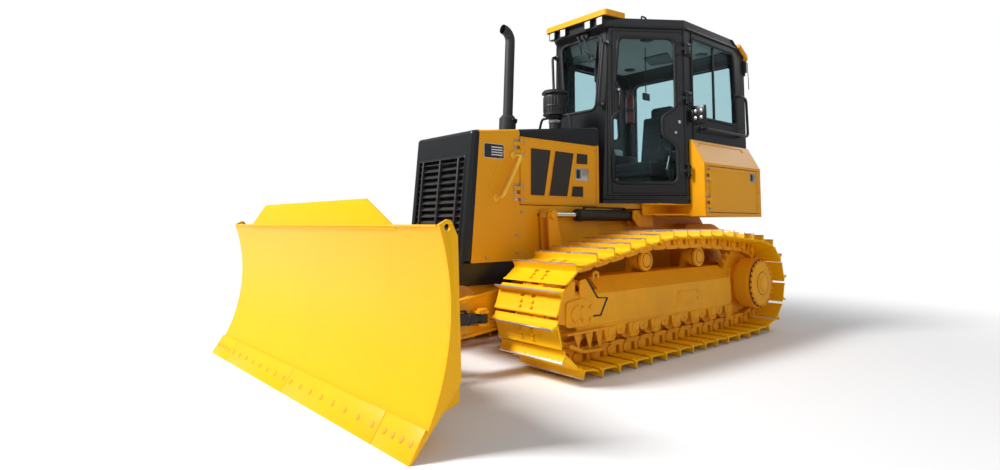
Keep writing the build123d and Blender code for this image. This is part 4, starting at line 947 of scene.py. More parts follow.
class DOZER_OT_cab_outside(bpy.types.Operator):
    """Shell hinge leaves, gutters, corner and sill beads, grab rails, door stops and lifting loops"""

    bl_idname = "dozer.cab_outside"
    bl_label = "Cab outside"

    def execute(self, context):
        low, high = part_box("cab_shell")
        roof_low, roof_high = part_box("cab_roof")
        half = roof_high[0]
        rear = roof_high[1]
        tail = high[1]
        hinge_y = JOINTS["cab_door_left"][1]
        leaves, bolts = [], []
        for height in hinge_heights():
            outline = card(hinge_y + 0.026, hinge_y + 0.098, height - HINGE_HALF, height + HINGE_HALF, 0.012)
            leaves.append(plate("leaf", outline, "X", half - 0.002, 0.011, 0.002))
            for start, end in ((0.041, 0.058), (-0.058, -0.041)):
                ends = [(half + 0.018, hinge_y, height + reach) for reach in (start, end)]
                leaves.append(drum("tip", *ends, 0.01, 0.003, 16))
            bolts += [(half + 0.009, hinge_y + a, height + b) for a in (0.048, 0.08) for b in (-0.036, 0.036)]
        both(join("shell_hinge_leaves", *leaves), "charcoal paint")
        both(bolt_heads("shell_hinge_bolts", bolts, "X", 0.009, 0.008), "black plastic")

        front_x, front_y = 0.275, roof_low[1]
        brim = roof_low[2] + 0.006
        run = [
            (-half - 0.006, tail - 0.016, brim), (-half - 0.006, hinge_y + 0.012, brim),
            (-front_x - 0.006, front_y - 0.004, brim),
            (front_x + 0.006, front_y - 0.004, brim), (half + 0.006, hinge_y + 0.012, brim),
            (half + 0.006, tail - 0.016, brim),
        ]
        dress(tube("gutter", run, 0.01, bend=0.02), "charcoal paint")
        top_z, rear_z = roof_high[2], 2.612
        slope = [
            (half + 0.002, tail - 0.228, top_z - 0.006), (half + 0.002, tail - 0.004, rear_z - 0.006),
            (-half - 0.002, tail - 0.004, rear_z - 0.006), (-half - 0.002, tail - 0.228, top_z - 0.006),
        ]
        dress(tube("rear_gutter", slope, 0.009, bend=0.015), "charcoal paint")
        bead = tube(
            "corner_bead",
            [(half + 0.002, hinge_y + 0.115, low[2] + 0.02), (half + 0.002, hinge_y + 0.115, brim)], 0.006, sides=3,
        )
        sill = tube(
            "sill_bead",
            [
                (half + 0.002, hinge_y + 0.03, low[2] + 0.04), (front_x + 0.004, low[1] + 0.002, low[2] + 0.04),
                (-front_x - 0.004, low[1] + 0.002, low[2] + 0.04), (-half - 0.002, hinge_y + 0.03, low[2] + 0.04),
            ],
            0.011, bend=0.02,
        )
        both(bead, "charcoal paint")
        dress(sill, "charcoal paint")

        glass_low, glass_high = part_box("windscreen")
        rail = []
        for share, out in ((0.03, 0.0), (0.03, 1.0), (0.86, 1.0), (0.86, 0.0)):
            z = glass_low[2] + (glass_high[2] - glass_low[2]) * share
            x = 0.262 + 0.052 * share
            y = low[1] + WINDSCREEN_LEAN * (z - low[2]) - 0.058 * out + (0.02 if not out else 0.0)
            rail.append((x, y, z))
        rails = [tube("rail", rail, sizes().rail, bend=0.045)]
        for place in (rail[0], rail[3]):
            start = Vector(place)
            rails.append(drum("foot", start + Vector((0, -0.016, 0)), start + Vector((0, -0.032, 0)), 0.026, 0.003, 20))
        both(join("front_grab_rail", *rails), "black plastic")

        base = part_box("side_box")[1][2] + 0.108
        reach = rear + 0.02
        path = [
            (half, hinge_y + 0.245, base), (half + 0.06, hinge_y + 0.245, base), (half + 0.06, reach, base + 0.004),
            (half + 0.052, reach, base + 0.38), (half + 0.052, rear - 0.105, base + 0.385),
            (half, rear - 0.105, base + 0.385),
        ]
        feet = [tube("rail", path, sizes().rail, bend=0.05)]
        for y, z in ((hinge_y + 0.245, base), (rear - 0.105, base + 0.385)):
            feet.append(drum("foot", (half - 0.002, y, z), (half + 0.01, y, z), 0.028, 0.003, 20))
        feet.append(
            drum(
                "stay", (half - 0.002, rear - 0.065, base + 0.002), (half + 0.06, rear - 0.065, base + 0.002), 0.01,
                0.0, 16,
            ),
        )
        both(join("rear_grab_rail", *feet), "black plastic")

        at = Vector((half + 0.03, hinge_y + 0.06, base + 0.02))
        bracket = join(
            "door_stop",
            block("plate", at, at + Vector((0.12, 0.034, 0.165)), 0.006),
            block("foot", (half - 0.002, at.y + 0.004, at.z + 0.03), (at.x + 0.004, at.y + 0.03, at.z + 0.135), 0.003),
        )
        both(bracket, "charcoal paint")
        knobs = [
            (at.x + a, at.y - 0.01, at.z + b)
            for a, b in ((0.032, 0.052), (0.088, 0.052), (0.032, 0.112), (0.088, 0.112))
        ]
        pads = bolt_heads("door_stop_bolts", knobs, "Y", 0.016, 0.014, 20)
        both(pads, "stainless")

        loops = []
        for y in (hinge_y - 0.22, rear - 0.32):
            for side in (-1, 1):
                x = side * 0.46
                loops.append(
                    tube(
                        "loop",
                        [
                            (x, y - 0.035, top_z - 0.01), (x, y - 0.035, top_z + 0.042),
                            (x, y + 0.035, top_z + 0.042), (x, y + 0.035, top_z - 0.01),
                        ],
                        0.008, bend=0.02,
                    )
                )
        dress(join("lifting_loops", *loops), "charcoal paint")
        return {"FINISHED"}


class DOZER_OT_wipers(bpy.types.Operator):
    """Two wiper arms and a blade on the windscreen"""

    bl_idname = "dozer.wipers"
    bl_label = "Wipers"

    def execute(self, context):
        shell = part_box("cab_shell")[0]

        def at(x, z, out):
            return Vector((x, shell[1] + WINDSCREEN_LEAN * (z - shell[2]) - out, z))

        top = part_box("windscreen")[1][2] + 0.02
        parts = [block("motor", at(-0.02, top - 0.02, 0.03), at(0.1, top + 0.035, -0.01), 0.008)]
        joints = ((0.0, top), (0.055, top))
        ends = ((0.128, top - 0.245), (0.176, top - 0.235))
        for (x0, z0), (x1, z1) in zip(joints, ends):
            parts.append(drum("boss", at(x0, z0, 0.026), at(x0, z0, 0.052), 0.013, 0.003, 16))
            parts.append(
                tube(
                    "arm", [at(x0, z0, 0.044), at((x0 + x1) / 2, (z0 + z1) / 2, 0.04), at(x1, z1, 0.034)], 0.007,
                    sides=3,
                ),
            )
        parts.append(drum("link", at(0.12, ends[0][1], 0.034), at(0.19, ends[1][1] + 0.006, 0.034), 0.008, 0.002, 12))
        parts.append(
            tube(
                "spine", [at(0.198, top - 0.07, 0.008), at(0.19, top - 0.24, 0.022), at(0.178, top - 0.43, 0.008)],
                0.006, sides=3,
            ),
        )
        parts.append(block("blade", at(0.186, top - 0.45, 0.008), at(0.196, top - 0.07, -0.012), 0.002))
        dress(join("wipers", *parts), "rubber")
        return {"FINISHED"}


class DOZER_OT_lamps(bpy.types.Operator):
    """Four square working lamps under the visor, the rear lamp units and an aerial"""

    bl_idname = "dozer.lamps"
    bl_label = "Lamps"

    def execute(self, context):
        low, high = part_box("work_lights")
        tall = high[2] - low[2]
        middle = (low[2] + high[2]) / 2
        half = tall / 2
        shells, lenses = [], []
        for x in (high[0] - half, 0.149, -0.149, low[0] + half):
            face = card(x - half, x + half, middle - half, middle + half, 0.014)
            shell = plate("shell", face, "Y", low[1] + 0.004, high[1] - low[1] - 0.004, 0.003)
            inner = card(x - half + 0.006, x + half - 0.006, middle - half + 0.006, middle + half - 0.006, 0.011)
            cut(shell, plate("hole", inner, "Y", low[1] - 0.01, 0.024))
            shells.append(shell)
            glass = plate("lens", inner, "Y", low[1] + 0.006, 0.01, 0.003)
            lenses.append(glass)
        housing = dress(join("work_lamp_housings", *shells), "black plastic")
        dress(join("work_lamp_lenses", *lenses), "clear lens")
        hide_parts("work_lights")

        half_x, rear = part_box("cab_roof")[1][0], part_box("cab_shell")[1][1]
        guard = plate(
            "rear_lamp_guard",
            [
                (rear - 0.128, 2.684), (rear - 0.118, 2.722), (rear + 0.022, 2.64), (rear + 0.034, 2.616),
                (rear + 0.024, 2.575), (rear - 0.002, 2.575), (rear - 0.002, 2.606),
            ],
            "X", half_x - 0.1, 0.132, 0.004,
        )
        both(guard, "yellow paint")
        unit = join(
            "rear_lamp_unit",
            block("case", (half_x - 0.084, rear - 0.02, 2.455), (half_x + 0.026, rear + 0.022, 2.572), 0.008),
            block("base", (half_x - 0.06, rear - 0.012, 2.425), (half_x + 0.01, rear + 0.016, 2.46), 0.005),
        )
        both(unit, "black plastic")
        both(
            block(
                "rear_lamp_lens", (half_x - 0.076, rear + 0.016, 2.463), (half_x + 0.018, rear + 0.03, 2.562), 0.006
            ),
            "clear lens",
        )
        mast = tube(
            "aerial",
            [
                (half_x + 0.01, rear + 0.008, 2.56), (half_x + 0.03, rear + 0.02, 2.555),
                (half_x + 0.034, rear + 0.026, 2.29),
            ],
            0.004, sides=3,
        )
        dress(mast, "rubber")
        return {"FINISHED"}


class DOZER_OT_visor(bpy.types.Operator):
    """The visor's dark underside and the roof's rear hatch"""

    bl_idname = "dozer.visor"
    bl_label = "Visor and roof"

    def execute(self, context):
        low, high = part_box("roof_visor")
        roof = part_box("cab_roof")
        front = low[1]
        outline = [
            (-high[0] + 0.06, front + 0.006), (high[0] - 0.06, front + 0.006), (high[0] - 0.012, high[1] - 0.01),
            (-high[0] + 0.012, high[1] - 0.01),
        ]
        lining = plate("visor_lining", outline, "Z", low[2] - 0.006, 0.02, 0.004)
        dress(lining, "black plastic")
        hatch = plate("roof_hatch", card(-0.34, 0.34, 1.15, 1.72, 0.06), "Z", roof[1][2] - 0.004, 0.022, 0.008)
        dress(hatch, "charcoal paint")
        return {"FINISHED"}


class DOZER_OT_cab_inside(bpy.types.Operator):
    """Seat cushions, arm boxes, levers, dash, roof lining with speakers and vent, extinguisher and mirror"""

    bl_idname = "dozer.cab_inside"
    bl_label = "Cab inside"

    def execute(self, context):
        low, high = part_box("seat")
        shell_low, shell_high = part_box("cab_shell")
        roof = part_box("cab_roof")[0]
        floor = low[2]
        wide = high[0]
        cushion = block(
            "seat_cushion", (-wide + 0.03, low[1] + 0.02, floor + 0.285), (wide - 0.03, low[1] + 0.47, floor + 0.398),
            0.035, 4,
        )
        back = plate(
            "seat_back",
            rounded(
                [
                    (low[1] + 0.435, floor + 0.4), (low[1] + 0.52, floor + 0.4), (high[1] - 0.03, high[2] - 0.05),
                    (high[1] - 0.115, high[2] - 0.05),
                ],
                0.03,
            ),
            "X", -wide + 0.05, 2 * wide - 0.1, 0.03, 4,
        )
        rest = block(
            "head_rest", (-0.13, high[1] - 0.11, high[2] - 0.085), (0.13, high[1] - 0.015, high[2] + 0.05), 0.04, 4
        )
        for piece in (cushion, back, rest):
            dress(piece, "seat cloth")
        base = join(
            "seat_base",
            block(
                "base", (-wide + 0.06, low[1] + 0.05, floor + 0.02), (wide - 0.06, low[1] + 0.4, floor + 0.26), 0.015
            ),
            block(
                "pan", (-wide + 0.02, low[1] + 0.02, floor + 0.255), (wide - 0.02, high[1] - 0.13, floor + 0.3), 0.012
            ),
            block("arm_l", (wide - 0.01, low[1] + 0.06, floor + 0.38), (wide + 0.09, low[1] + 0.46, floor + 0.5), 0.02),
            block(
                "arm_r", (-wide - 0.09, low[1] + 0.06, floor + 0.38), (-wide + 0.01, low[1] + 0.46, floor + 0.5), 0.02
            ),
            block(
                "post_l", (wide + 0.01, low[1] + 0.24, floor + 0.01), (wide + 0.07, low[1] + 0.36, floor + 0.4), 0.008
            ),
            block(
                "post_r", (-wide - 0.07, low[1] + 0.24, floor + 0.01), (-wide - 0.01, low[1] + 0.36, floor + 0.4),
                0.008,
            ),
        )
        dress(base, "black plastic")
        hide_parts("seat")
        sticks = []
        for side in (-1, 1):
            x, y, z = side * (wide + 0.04), low[1] + 0.1, floor + 0.49
            sticks.append(tube("stick", [(x, y, z), (x + side * 0.01, y - 0.03, z + 0.13)], 0.009))
            sticks.append(lathe("boot", (x, y, z - 0.005), "Z", [(0.0, 0.04), (0.02, 0.034), (0.06, 0.014)], 20))
            sticks.append(
                drum(
                    "knob", (x + side * 0.01, y - 0.03, z + 0.12), (x + side * 0.014, y - 0.045, z + 0.2), 0.02,
                    0.008, 16, 0.015,
                ),
            )
        dress(join("levers", *sticks), "black plastic")

        con_low, con_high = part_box("console")
        desk = plate(
            "dash",
            rounded(
                [
                    (con_low[1] - 0.02, con_low[2]), (con_high[1], con_low[2]),
                    (con_high[1] + 0.02, con_high[2] - 0.1), (con_high[1] - 0.03, con_high[2] - 0.02),
                    (con_low[1] - 0.03, con_high[2] + 0.01),
                ],
                0.02,
            ),
            "X", con_low[0], con_high[0] - con_low[0], 0.01,
        )
        dress(desk, "black plastic")
        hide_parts("console")
        dials = [
            drum(
                "dial", (x, con_high[1] - 0.045, con_high[2] - 0.035), (x, con_high[1] - 0.015, con_high[2] - 0.01),
                0.035, 0.004,
            )
            for x in (-0.09, 0.0, 0.09)
        ]
        dress(join("dials", *dials), "white enamel")

        ceiling = roof[2] - 0.022
        plan = [
            (-0.22, shell_low[1] + 0.14), (0.22, shell_low[1] + 0.14), (0.62, 1.05), (0.62, 1.88), (-0.62, 1.88),
            (-0.62, 1.05),
        ]
        lining = plate("roof_lining", rounded(plan, 0.05), "Z", ceiling, 0.024, 0.006)
        dress(lining, "lining")
        rounds = []
        for x, y in ((0.44, 1.78), (-0.4, 1.72), (0.36, 0.98), (-0.36, 0.98)):
            rounds.append(drum("speaker", (x, y, ceiling - 0.006), (x, y, ceiling + 0.004), 0.062))
            rounds.append(drum("cone", (x, y, ceiling - 0.011), (x, y, ceiling), 0.048))
        rounds.append(
            plate(
                "vent", rounded([(-0.02, 1.44), (0.26, 1.46), (0.1, 1.8), (-0.14, 1.74)], 0.02), "Z", ceiling - 0.008,
                0.012, 0.003,
            ),
        )
        dress(join("roof_fittings", *rounds), "black plastic")

        wall = -shell_high[0] + 0.052
        pillar = block("far_locker", (wall, 1.56, floor + 0.02), (wall + 0.13, 1.8, floor + 0.62), 0.02)
        side_bin = block("near_locker", (-wall - 0.13, 1.56, floor + 0.02), (-wall, 1.95, floor + 0.5), 0.02)
        dress(join("lockers", pillar, side_bin), "lining")
        x, y = -0.305, 1.585
        bottle = lathe(
            "extinguisher", (x, y, floor + 0.86), "Z",
            [(0.0, 0.036), (0.01, 0.045), (0.27, 0.045), (0.31, 0.03), (0.33, 0.016), (0.35, 0.016)], 28,
        )
        dress(bottle, "red enamel")
        strap = join(
            "extinguisher_strap",
            block("backing", (x - 0.03, y + 0.05, floor), (x + 0.03, y + 0.072, floor + 1.16)),
            lathe("band", (x, y, floor + 0.98), "Z", [(0.0, 0.049), (0.03, 0.049)], 28),
            block("valve", (x - 0.045, y - 0.014, floor + 1.185), (x + 0.035, y + 0.014, floor + 1.235), 0.005),
        )
        dress(strap, "black plastic")
        mirror = join(
            "mirror",
            block("glass", (-0.18, 0.56, 2.44), (0.02, 0.58, 2.52), 0.008),
            drum("stalk", (-0.08, 0.575, 2.5), (-0.08, 0.56, 2.66), 0.006, 0.0, 12),
            block("lamp", (0.185, 1.13, 2.135), (0.205, 1.235, 2.205), 0.009),
            drum("lamp_stalk", (0.195, 1.18, 2.195), (0.195, 1.18, 2.65), 0.005, 0.0, 12),
        )
        dress(mirror, "black plastic")
        return {"FINISHED"}


# ---------------------------------------------------------------- hood
def latch_leaf(part, at, size, bend, start, depth, edge=0.0):
    """A flat leaf of a latch at (y, z); its size is (from y, to y, from z, to z)."""
    outline = card(at[0] + size[0], at[0] + size[1], at[1] + size[2], at[1] + size[3], bend)
    return plate(part, outline, "X", start, depth, edge)


def latch(name, at, face, pan, paddle, lock):
    """A recessed latch; its lock is (y, z, radius)."""
    key = [(face + reach, at[0] + lock[0], at[1] + lock[1]) for reach in (0.008, 0.02)]
    return join(
        name,
        latch_leaf("pan", at, pan, 0.008, face - 0.001, 0.004, 0.001),
        latch_leaf("paddle", at, paddle, 0.006, face + 0.002, 0.01, 0.003),
        drum("lock", *key, lock[2], 0.002, 20),
    )


def finger_pocket(name, at, face, size):
    return latch_leaf(name, at, size, 0.006, face + 0.002, 0.003)


def strip_hinge(x, y, z, face, leaves, half, bend, depth, pin_radius, pin_end):
    """A strip hinge's fixed leaf with its two pin ends, and its moving leaf."""
    fixed, moving = (
        plate("leaf", card(y + a, y + b, z - half, z + half, bend), "X", face - 0.001, depth, 0.001)
        for a, b in leaves
    )
    pins = [
        tube("pin", [(x, y, z + start), (x, y, z + end)], pin_radius, sides=3)
        for start, end in ((0.041, pin_end), (-pin_end, -0.041))
    ]
    return [fixed, *pins], moving


class DOZER_OT_engine_doors(bpy.types.Operator):
    """Engine doors: framed vent screens, latch, hinges and edge bolts"""

    bl_idname = "dozer.engine_doors"
    bl_label = "Engine doors"

    def execute(self, context):
        low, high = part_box("engine_door_left")
        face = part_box("hood_top")[1][0]
        y0, z0 = low[1], low[2]
        vents = (
            [(0.11, 0.07), (0.112, 0.423), (0.328, 0.423), (0.257, 0.068)],
            [(0.299, 0.07), (0.37, 0.422), (0.583, 0.42), (0.505, 0.07)],
            [(0.604, 0.333), (0.615, 0.423), (0.747, 0.421), (0.743, 0.336)],
            [(0.545, 0.071), (0.561, 0.157), (0.691, 0.16), (0.69, 0.071)],
        )
        vents = [[(y0 + 0.006 + a, z0 - 0.002 + b) for a, b in vent] for vent in vents]
        screens, rims = [], []
        for vent in vents:
            ring = rounded(vent, 0.012)
            screens.append(plate("screen", ring, "X", face - 0.001, 0.0025))
            rims.append(tube("rim", [(face + 0.0015, a, b) for a, b in ring], 0.0035, closed=True, sides=2))
        both(join("vent_screens", *screens), "vent screen", "engine_door_{side}")
        both(join("vent_rims", *rims), "yellow paint", "engine_door_{side}")
        at = (y0 + 0.605, z0 + 0.203)
        pan, paddle, lock = (0, 0.155, 0, 0.098), (0.05, 0.14, 0.012, 0.086), (0.095, 0.049, 0.013)
        both(latch("engine_latch", at, face, pan, paddle, lock), "stainless", "engine_door_{side}")
        pocket = finger_pocket("latch_pocket", at, face, (0.01, 0.046, 0.014, 0.084))
        both(pocket, "rubber", "engine_door_{side}")
        edge = tube(
            "door_lip",
            [
                (face + 0.001, y0 + 0.024, z0 + 0.01), (face + 0.001, high[1] - 0.014, z0 + 0.01),
                (face + 0.001, high[1] - 0.014, high[2] - 0.01), (face + 0.001, y0 + 0.024, high[2] - 0.01),
            ],
            0.0035, closed=True, bend=0.015, sides=2,
        )
        both(edge, "yellow paint", "engine_door_{side}")
        bolts = [(face - 0.001, high[1] - 0.016, z) for z in (z0 + 0.03, z0 + 0.235, high[2] - 0.04)]
        both(bolt_heads("door_edge_bolts", bolts, "X", 0.0075, 0.008, 12), "stainless", "engine_door_{side}")
        hinge_x, hinge_y = JOINTS["engine_door_left"][:2]
        fixed, moving, heads, more = [], [], [], []
        for z in (z0 + 0.086, high[2] - 0.086):
            leaves = ((-0.052, -0.016), (0.022, 0.056))
            held, swung = strip_hinge(hinge_x, hinge_y, z, face, leaves, 0.06, 0.008, 0.006, 0.009, 0.064)
            fixed += held
            moving.append(swung)
            heads += [(face + 0.004, hinge_y - 0.038, z + c) for c in (-0.042, 0.042)]
            more += [(face + 0.004, hinge_y + 0.042, z + c) for c in (-0.042, 0.042)]
        both(join("hood_hinge_leaves", *fixed), "stainless")
        both(join("door_hinge_plates", *moving), "yellow paint", "engine_door_{side}")
        both(bolt_heads("hood_hinge_bolts", heads, "X", 0.009, 0.007, 12), "stainless")
        both(bolt_heads("door_plate_bolts", more, "X", 0.008, 0.006, 12), "stainless", "engine_door_{side}")
        return {"FINISHED"}


class DOZER_OT_hood(bpy.types.Operator):
    """Hood front: embossed panel, grab handle, blank data plate, bolts and radiator cap"""

    bl_idname = "dozer.hood"
    bl_label = "Hood"

    def execute(self, context):
        low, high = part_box("hood_front")
        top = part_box("hood_top")
        face = top[1][0]
        seam = top[0][1]
        handle_top = Vector((face, seam - 0.064, top[0][2] - 0.152))
        handle_low = Vector((face, seam - 0.224, top[0][2] - 0.46))
        out = Vector((0.062, 0, 0))
        bar = join(
            "hood_handle",
            tube(
                "bar",
                [
                    handle_top, handle_top + out + Vector((0, 0.03, -0.004)),
                    handle_low + out + Vector((0, 0.012, 0.006)), handle_low,
                ],
                0.014, bend=0.06, sides=4,
            ),
            drum("foot", handle_top, handle_top + Vector((0.008, 0, 0)), 0.026, 0.003, 20),
            drum("foot", handle_low, handle_low + Vector((0.008, 0, 0)), 0.026, 0.003, 20),
        )
        # The handle takes the lighter copy of the yellow paint, which is painted sunlight.
        both(bar, "handle paint")
        along = (handle_top - handle_low).normalized()
        across = Vector((0, along.z, -along.y))
        middle = (handle_top + handle_low) / 2 - across * 0.03
        oval = []
        for k in range(48):
            turn = k / 48 * math.tau
            end = along * (0.132 if math.sin(turn) > 0 else -0.132)
            oval.append(middle + end + (along * math.sin(turn) + across * math.cos(turn)) * 0.062)
        both(
            tube("handle_emboss", [p + Vector((-0.001, 0, 0)) for p in oval], 0.0045, closed=True, sides=3),
            "yellow paint",
        )
        py, pz = seam - 0.33, top[0][2] - 0.184
        both(
            plate("data_plate", card(py, py + 0.178, pz, pz + 0.1, 0.012), "X", face - 0.001, 0.004, 0.001),
            "black plastic",
        )
        lines = [
            plate("line", rectangle(py + 0.064, py + 0.166, pz + at, pz + at + 0.008), "X", face + 0.0028, 0.0006)
            for at in (0.02, 0.038, 0.056, 0.074)
        ]
        lines.append(
            tube(
                "edge", [(face + 0.002, a, b) for a, b in card(py, py + 0.178, pz, pz + 0.1, 0.012)], 0.0022,
                closed=True, sides=2,
            ),
        )
        both(join("data_plate_lines", *lines), "white enamel")
        spots = [
            (face - 0.001, seam + 0.02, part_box("engine_cowl")[1][2] - 0.56),
            (face - 0.001, seam - 0.026, low[2] + 0.06),
            (face - 0.001, seam - 0.026, low[2] + 0.18), (face - 0.001, low[1] + 0.13, low[2] + 0.03),
            (face - 0.001, seam + 0.18, low[2] + 0.33), (face - 0.001, seam + 0.38, low[2] + 0.33),
        ]
        both(bolt_heads("hood_bolts", spots, "X", 0.011, 0.01, 12), "stainless")
        cap = lathe(
            "radiator_cap", (0.16, low[1] + 0.2, high[2] - 0.045), "Z",
            [(0, 0.05), (0.012, 0.05), (0.03, 0.044), (0.034, 0.0)], 32,
        )
        dress(cap, "black plastic")
        return {"FINISHED"}


class DOZER_OT_grille(bpy.types.Operator):
    """Grille: bowed louvres, upright bars, the surround's inner frame and the core behind"""

    bl_idname = "dozer.grille"
    bl_label = "Grille"

    def execute(self, context):
        low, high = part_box("grille")
        half = high[0]
        bottom, top = low[2], high[2]
        y_low, y_high = low[1] + 0.004, low[1] + 0.062
        rows = 14
        louvres = []
        for row in range(rows):
            share = (row + 0.5) / rows
            z = bottom + (top - bottom) * share
            y = y_low + (y_high - y_low) * share
            outline = [
                (y + 0.003, z - 0.02), (y + 0.014, z - 0.021), (y + 0.034, z - 0.004), (y + 0.052, z + 0.016),
                (y + 0.047, z + 0.02), (y + 0.028, z + 0.001), (y + 0.01, z - 0.014), (y - 0.001, z - 0.013),
            ]
            louvres.append(plate("louvre", outline, "X", -half + 0.001, 2 * half - 0.002, 0.0015, 1))
        bars = []
        for x in (-0.236, -0.015, 0.206):
            wide = 0.008
            outline = [
                (y_low - 0.006, bottom - 0.004), (y_low + 0.016, bottom - 0.004), (y_high + 0.016, top + 0.004),
                (y_high - 0.006, top + 0.004),
            ]
            bars.append(plate("bar", outline, "X", x - wide, 2 * wide, 0.002))
        pieces = join("grille_louvres", *(louvres + bars))
        dress(pieces, "grille paint")
        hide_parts("grille")
        frame_points = [
            (half - 0.004, y_low - 0.001, bottom + 0.004), (half - 0.004, y_high - 0.001, top - 0.004),
            (-half + 0.004, y_high - 0.001, top - 0.004), (-half + 0.004, y_low - 0.001, bottom + 0.004),
        ]
        dress(tube("grille_frame", frame_points, 0.009, closed=True, bend=0.02, sides=3), "charcoal paint")
        core = plate(
            "radiator_core",
            [
                (y_low + 0.075, bottom - 0.01), (y_low + 0.09, bottom - 0.01), (y_high + 0.09, top + 0.01),
                (y_high + 0.075, top + 0.01),
            ],
            "X", -half - 0.01, 2 * half + 0.02,
        )
        dress(core, "vent screen")
        return {"FINISHED"}


class DOZER_OT_stack(bpy.types.Operator):
    """Stack clamp and foot plate, and the pre-cleaner's ribs, clamp and hoop"""

    bl_idname = "dozer.stack"
    bl_label = "Stack and pre-cleaner"

    def execute(self, context):
        low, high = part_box("exhaust_stack")
        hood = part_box("hood_top")
        radius = (high[0] - low[0]) / 2
        y = high[1] - radius + 0.001
        z = low[2]
        foot = join(
            "stack_foot",
            plate("plate", card(-0.11, 0.11, y - 0.105, y + 0.105, 0.02), "Z", z - 0.004, 0.014, 0.003),
            lathe("ring", (0, y + 0.002, z + 0.004), (0, 0.04, 1), [(0, radius + 0.012), (0.014, radius + 0.012)]),
            lathe("band", (0, y + 0.0065, z + 0.1), (0, 0.04, 1), [(0, radius + 0.003), (0.022, radius + 0.003)]),
            drum("clamp", (radius + 0.01, y - 0.02, z + 0.112), (radius + 0.01, y + 0.03, z + 0.112), 0.008, 0.001, 12),
        )
        dress(foot, "exhaust steel")
        low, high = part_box("precleaner")
        y = (low[1] + high[1]) / 2
        body = (high[0] - low[0]) / 2 - 0.016
        top = high[2]
        ribs = [
            block(
                "rib", (math.cos(a) * body - 0.004, y + math.sin(a) * body - 0.004, top - 0.195),
                (math.cos(a) * body + 0.004, y + math.sin(a) * body + 0.004, top - 0.06), 0.002,
            )
            for a in [k * math.tau / 24 for k in range(24)]
        ]
        ribs.append(
            lathe(
                "waist", (0, y, top - 0.15), "Z", [(0, body + 0.003), (0.008, body + 0.006), (0.016, body + 0.003)],
                48,
            ),
        )
        ribs.append(
            lathe("dome", (0, y, top - 0.008), "Z", [(0, 0.098), (0.005, 0.085), (0.0075, 0.05), (0.008, 0.02)], 48)
        )
        for a, b in circle(0, y, 0.102, 4):
            ribs.append(drum("nut", (a, b, top - 0.035), (a, b, top - 0.018), 0.008, 0.001, 6))
        dress(join("precleaner_ribs", *ribs), "black plastic")
        band = join(
            "precleaner_clamp",
            lathe("band", (0, y, top - 0.282), "Z", [(0, 0.056), (0.02, 0.056)]),
            drum("bolt", (0.048, y - 0.05, top - 0.272), (0.07, y - 0.02, top - 0.272), 0.006, 0.001, 10),
        )
        dress(band, "stainless")
        base = hood[1][2] - 0.02
        bow = [
            (0.195, y - 0.01, base), (0.175, y, top - 0.265), (0.155, y, top - 0.228), (-0.155, y, top - 0.228),
            (-0.175, y, top - 0.265), (-0.195, y - 0.01, base),
        ]
        dress(tube("precleaner_hoop", bow, 0.011, bend=0.03), "black plastic")
        return {"FINISHED"}


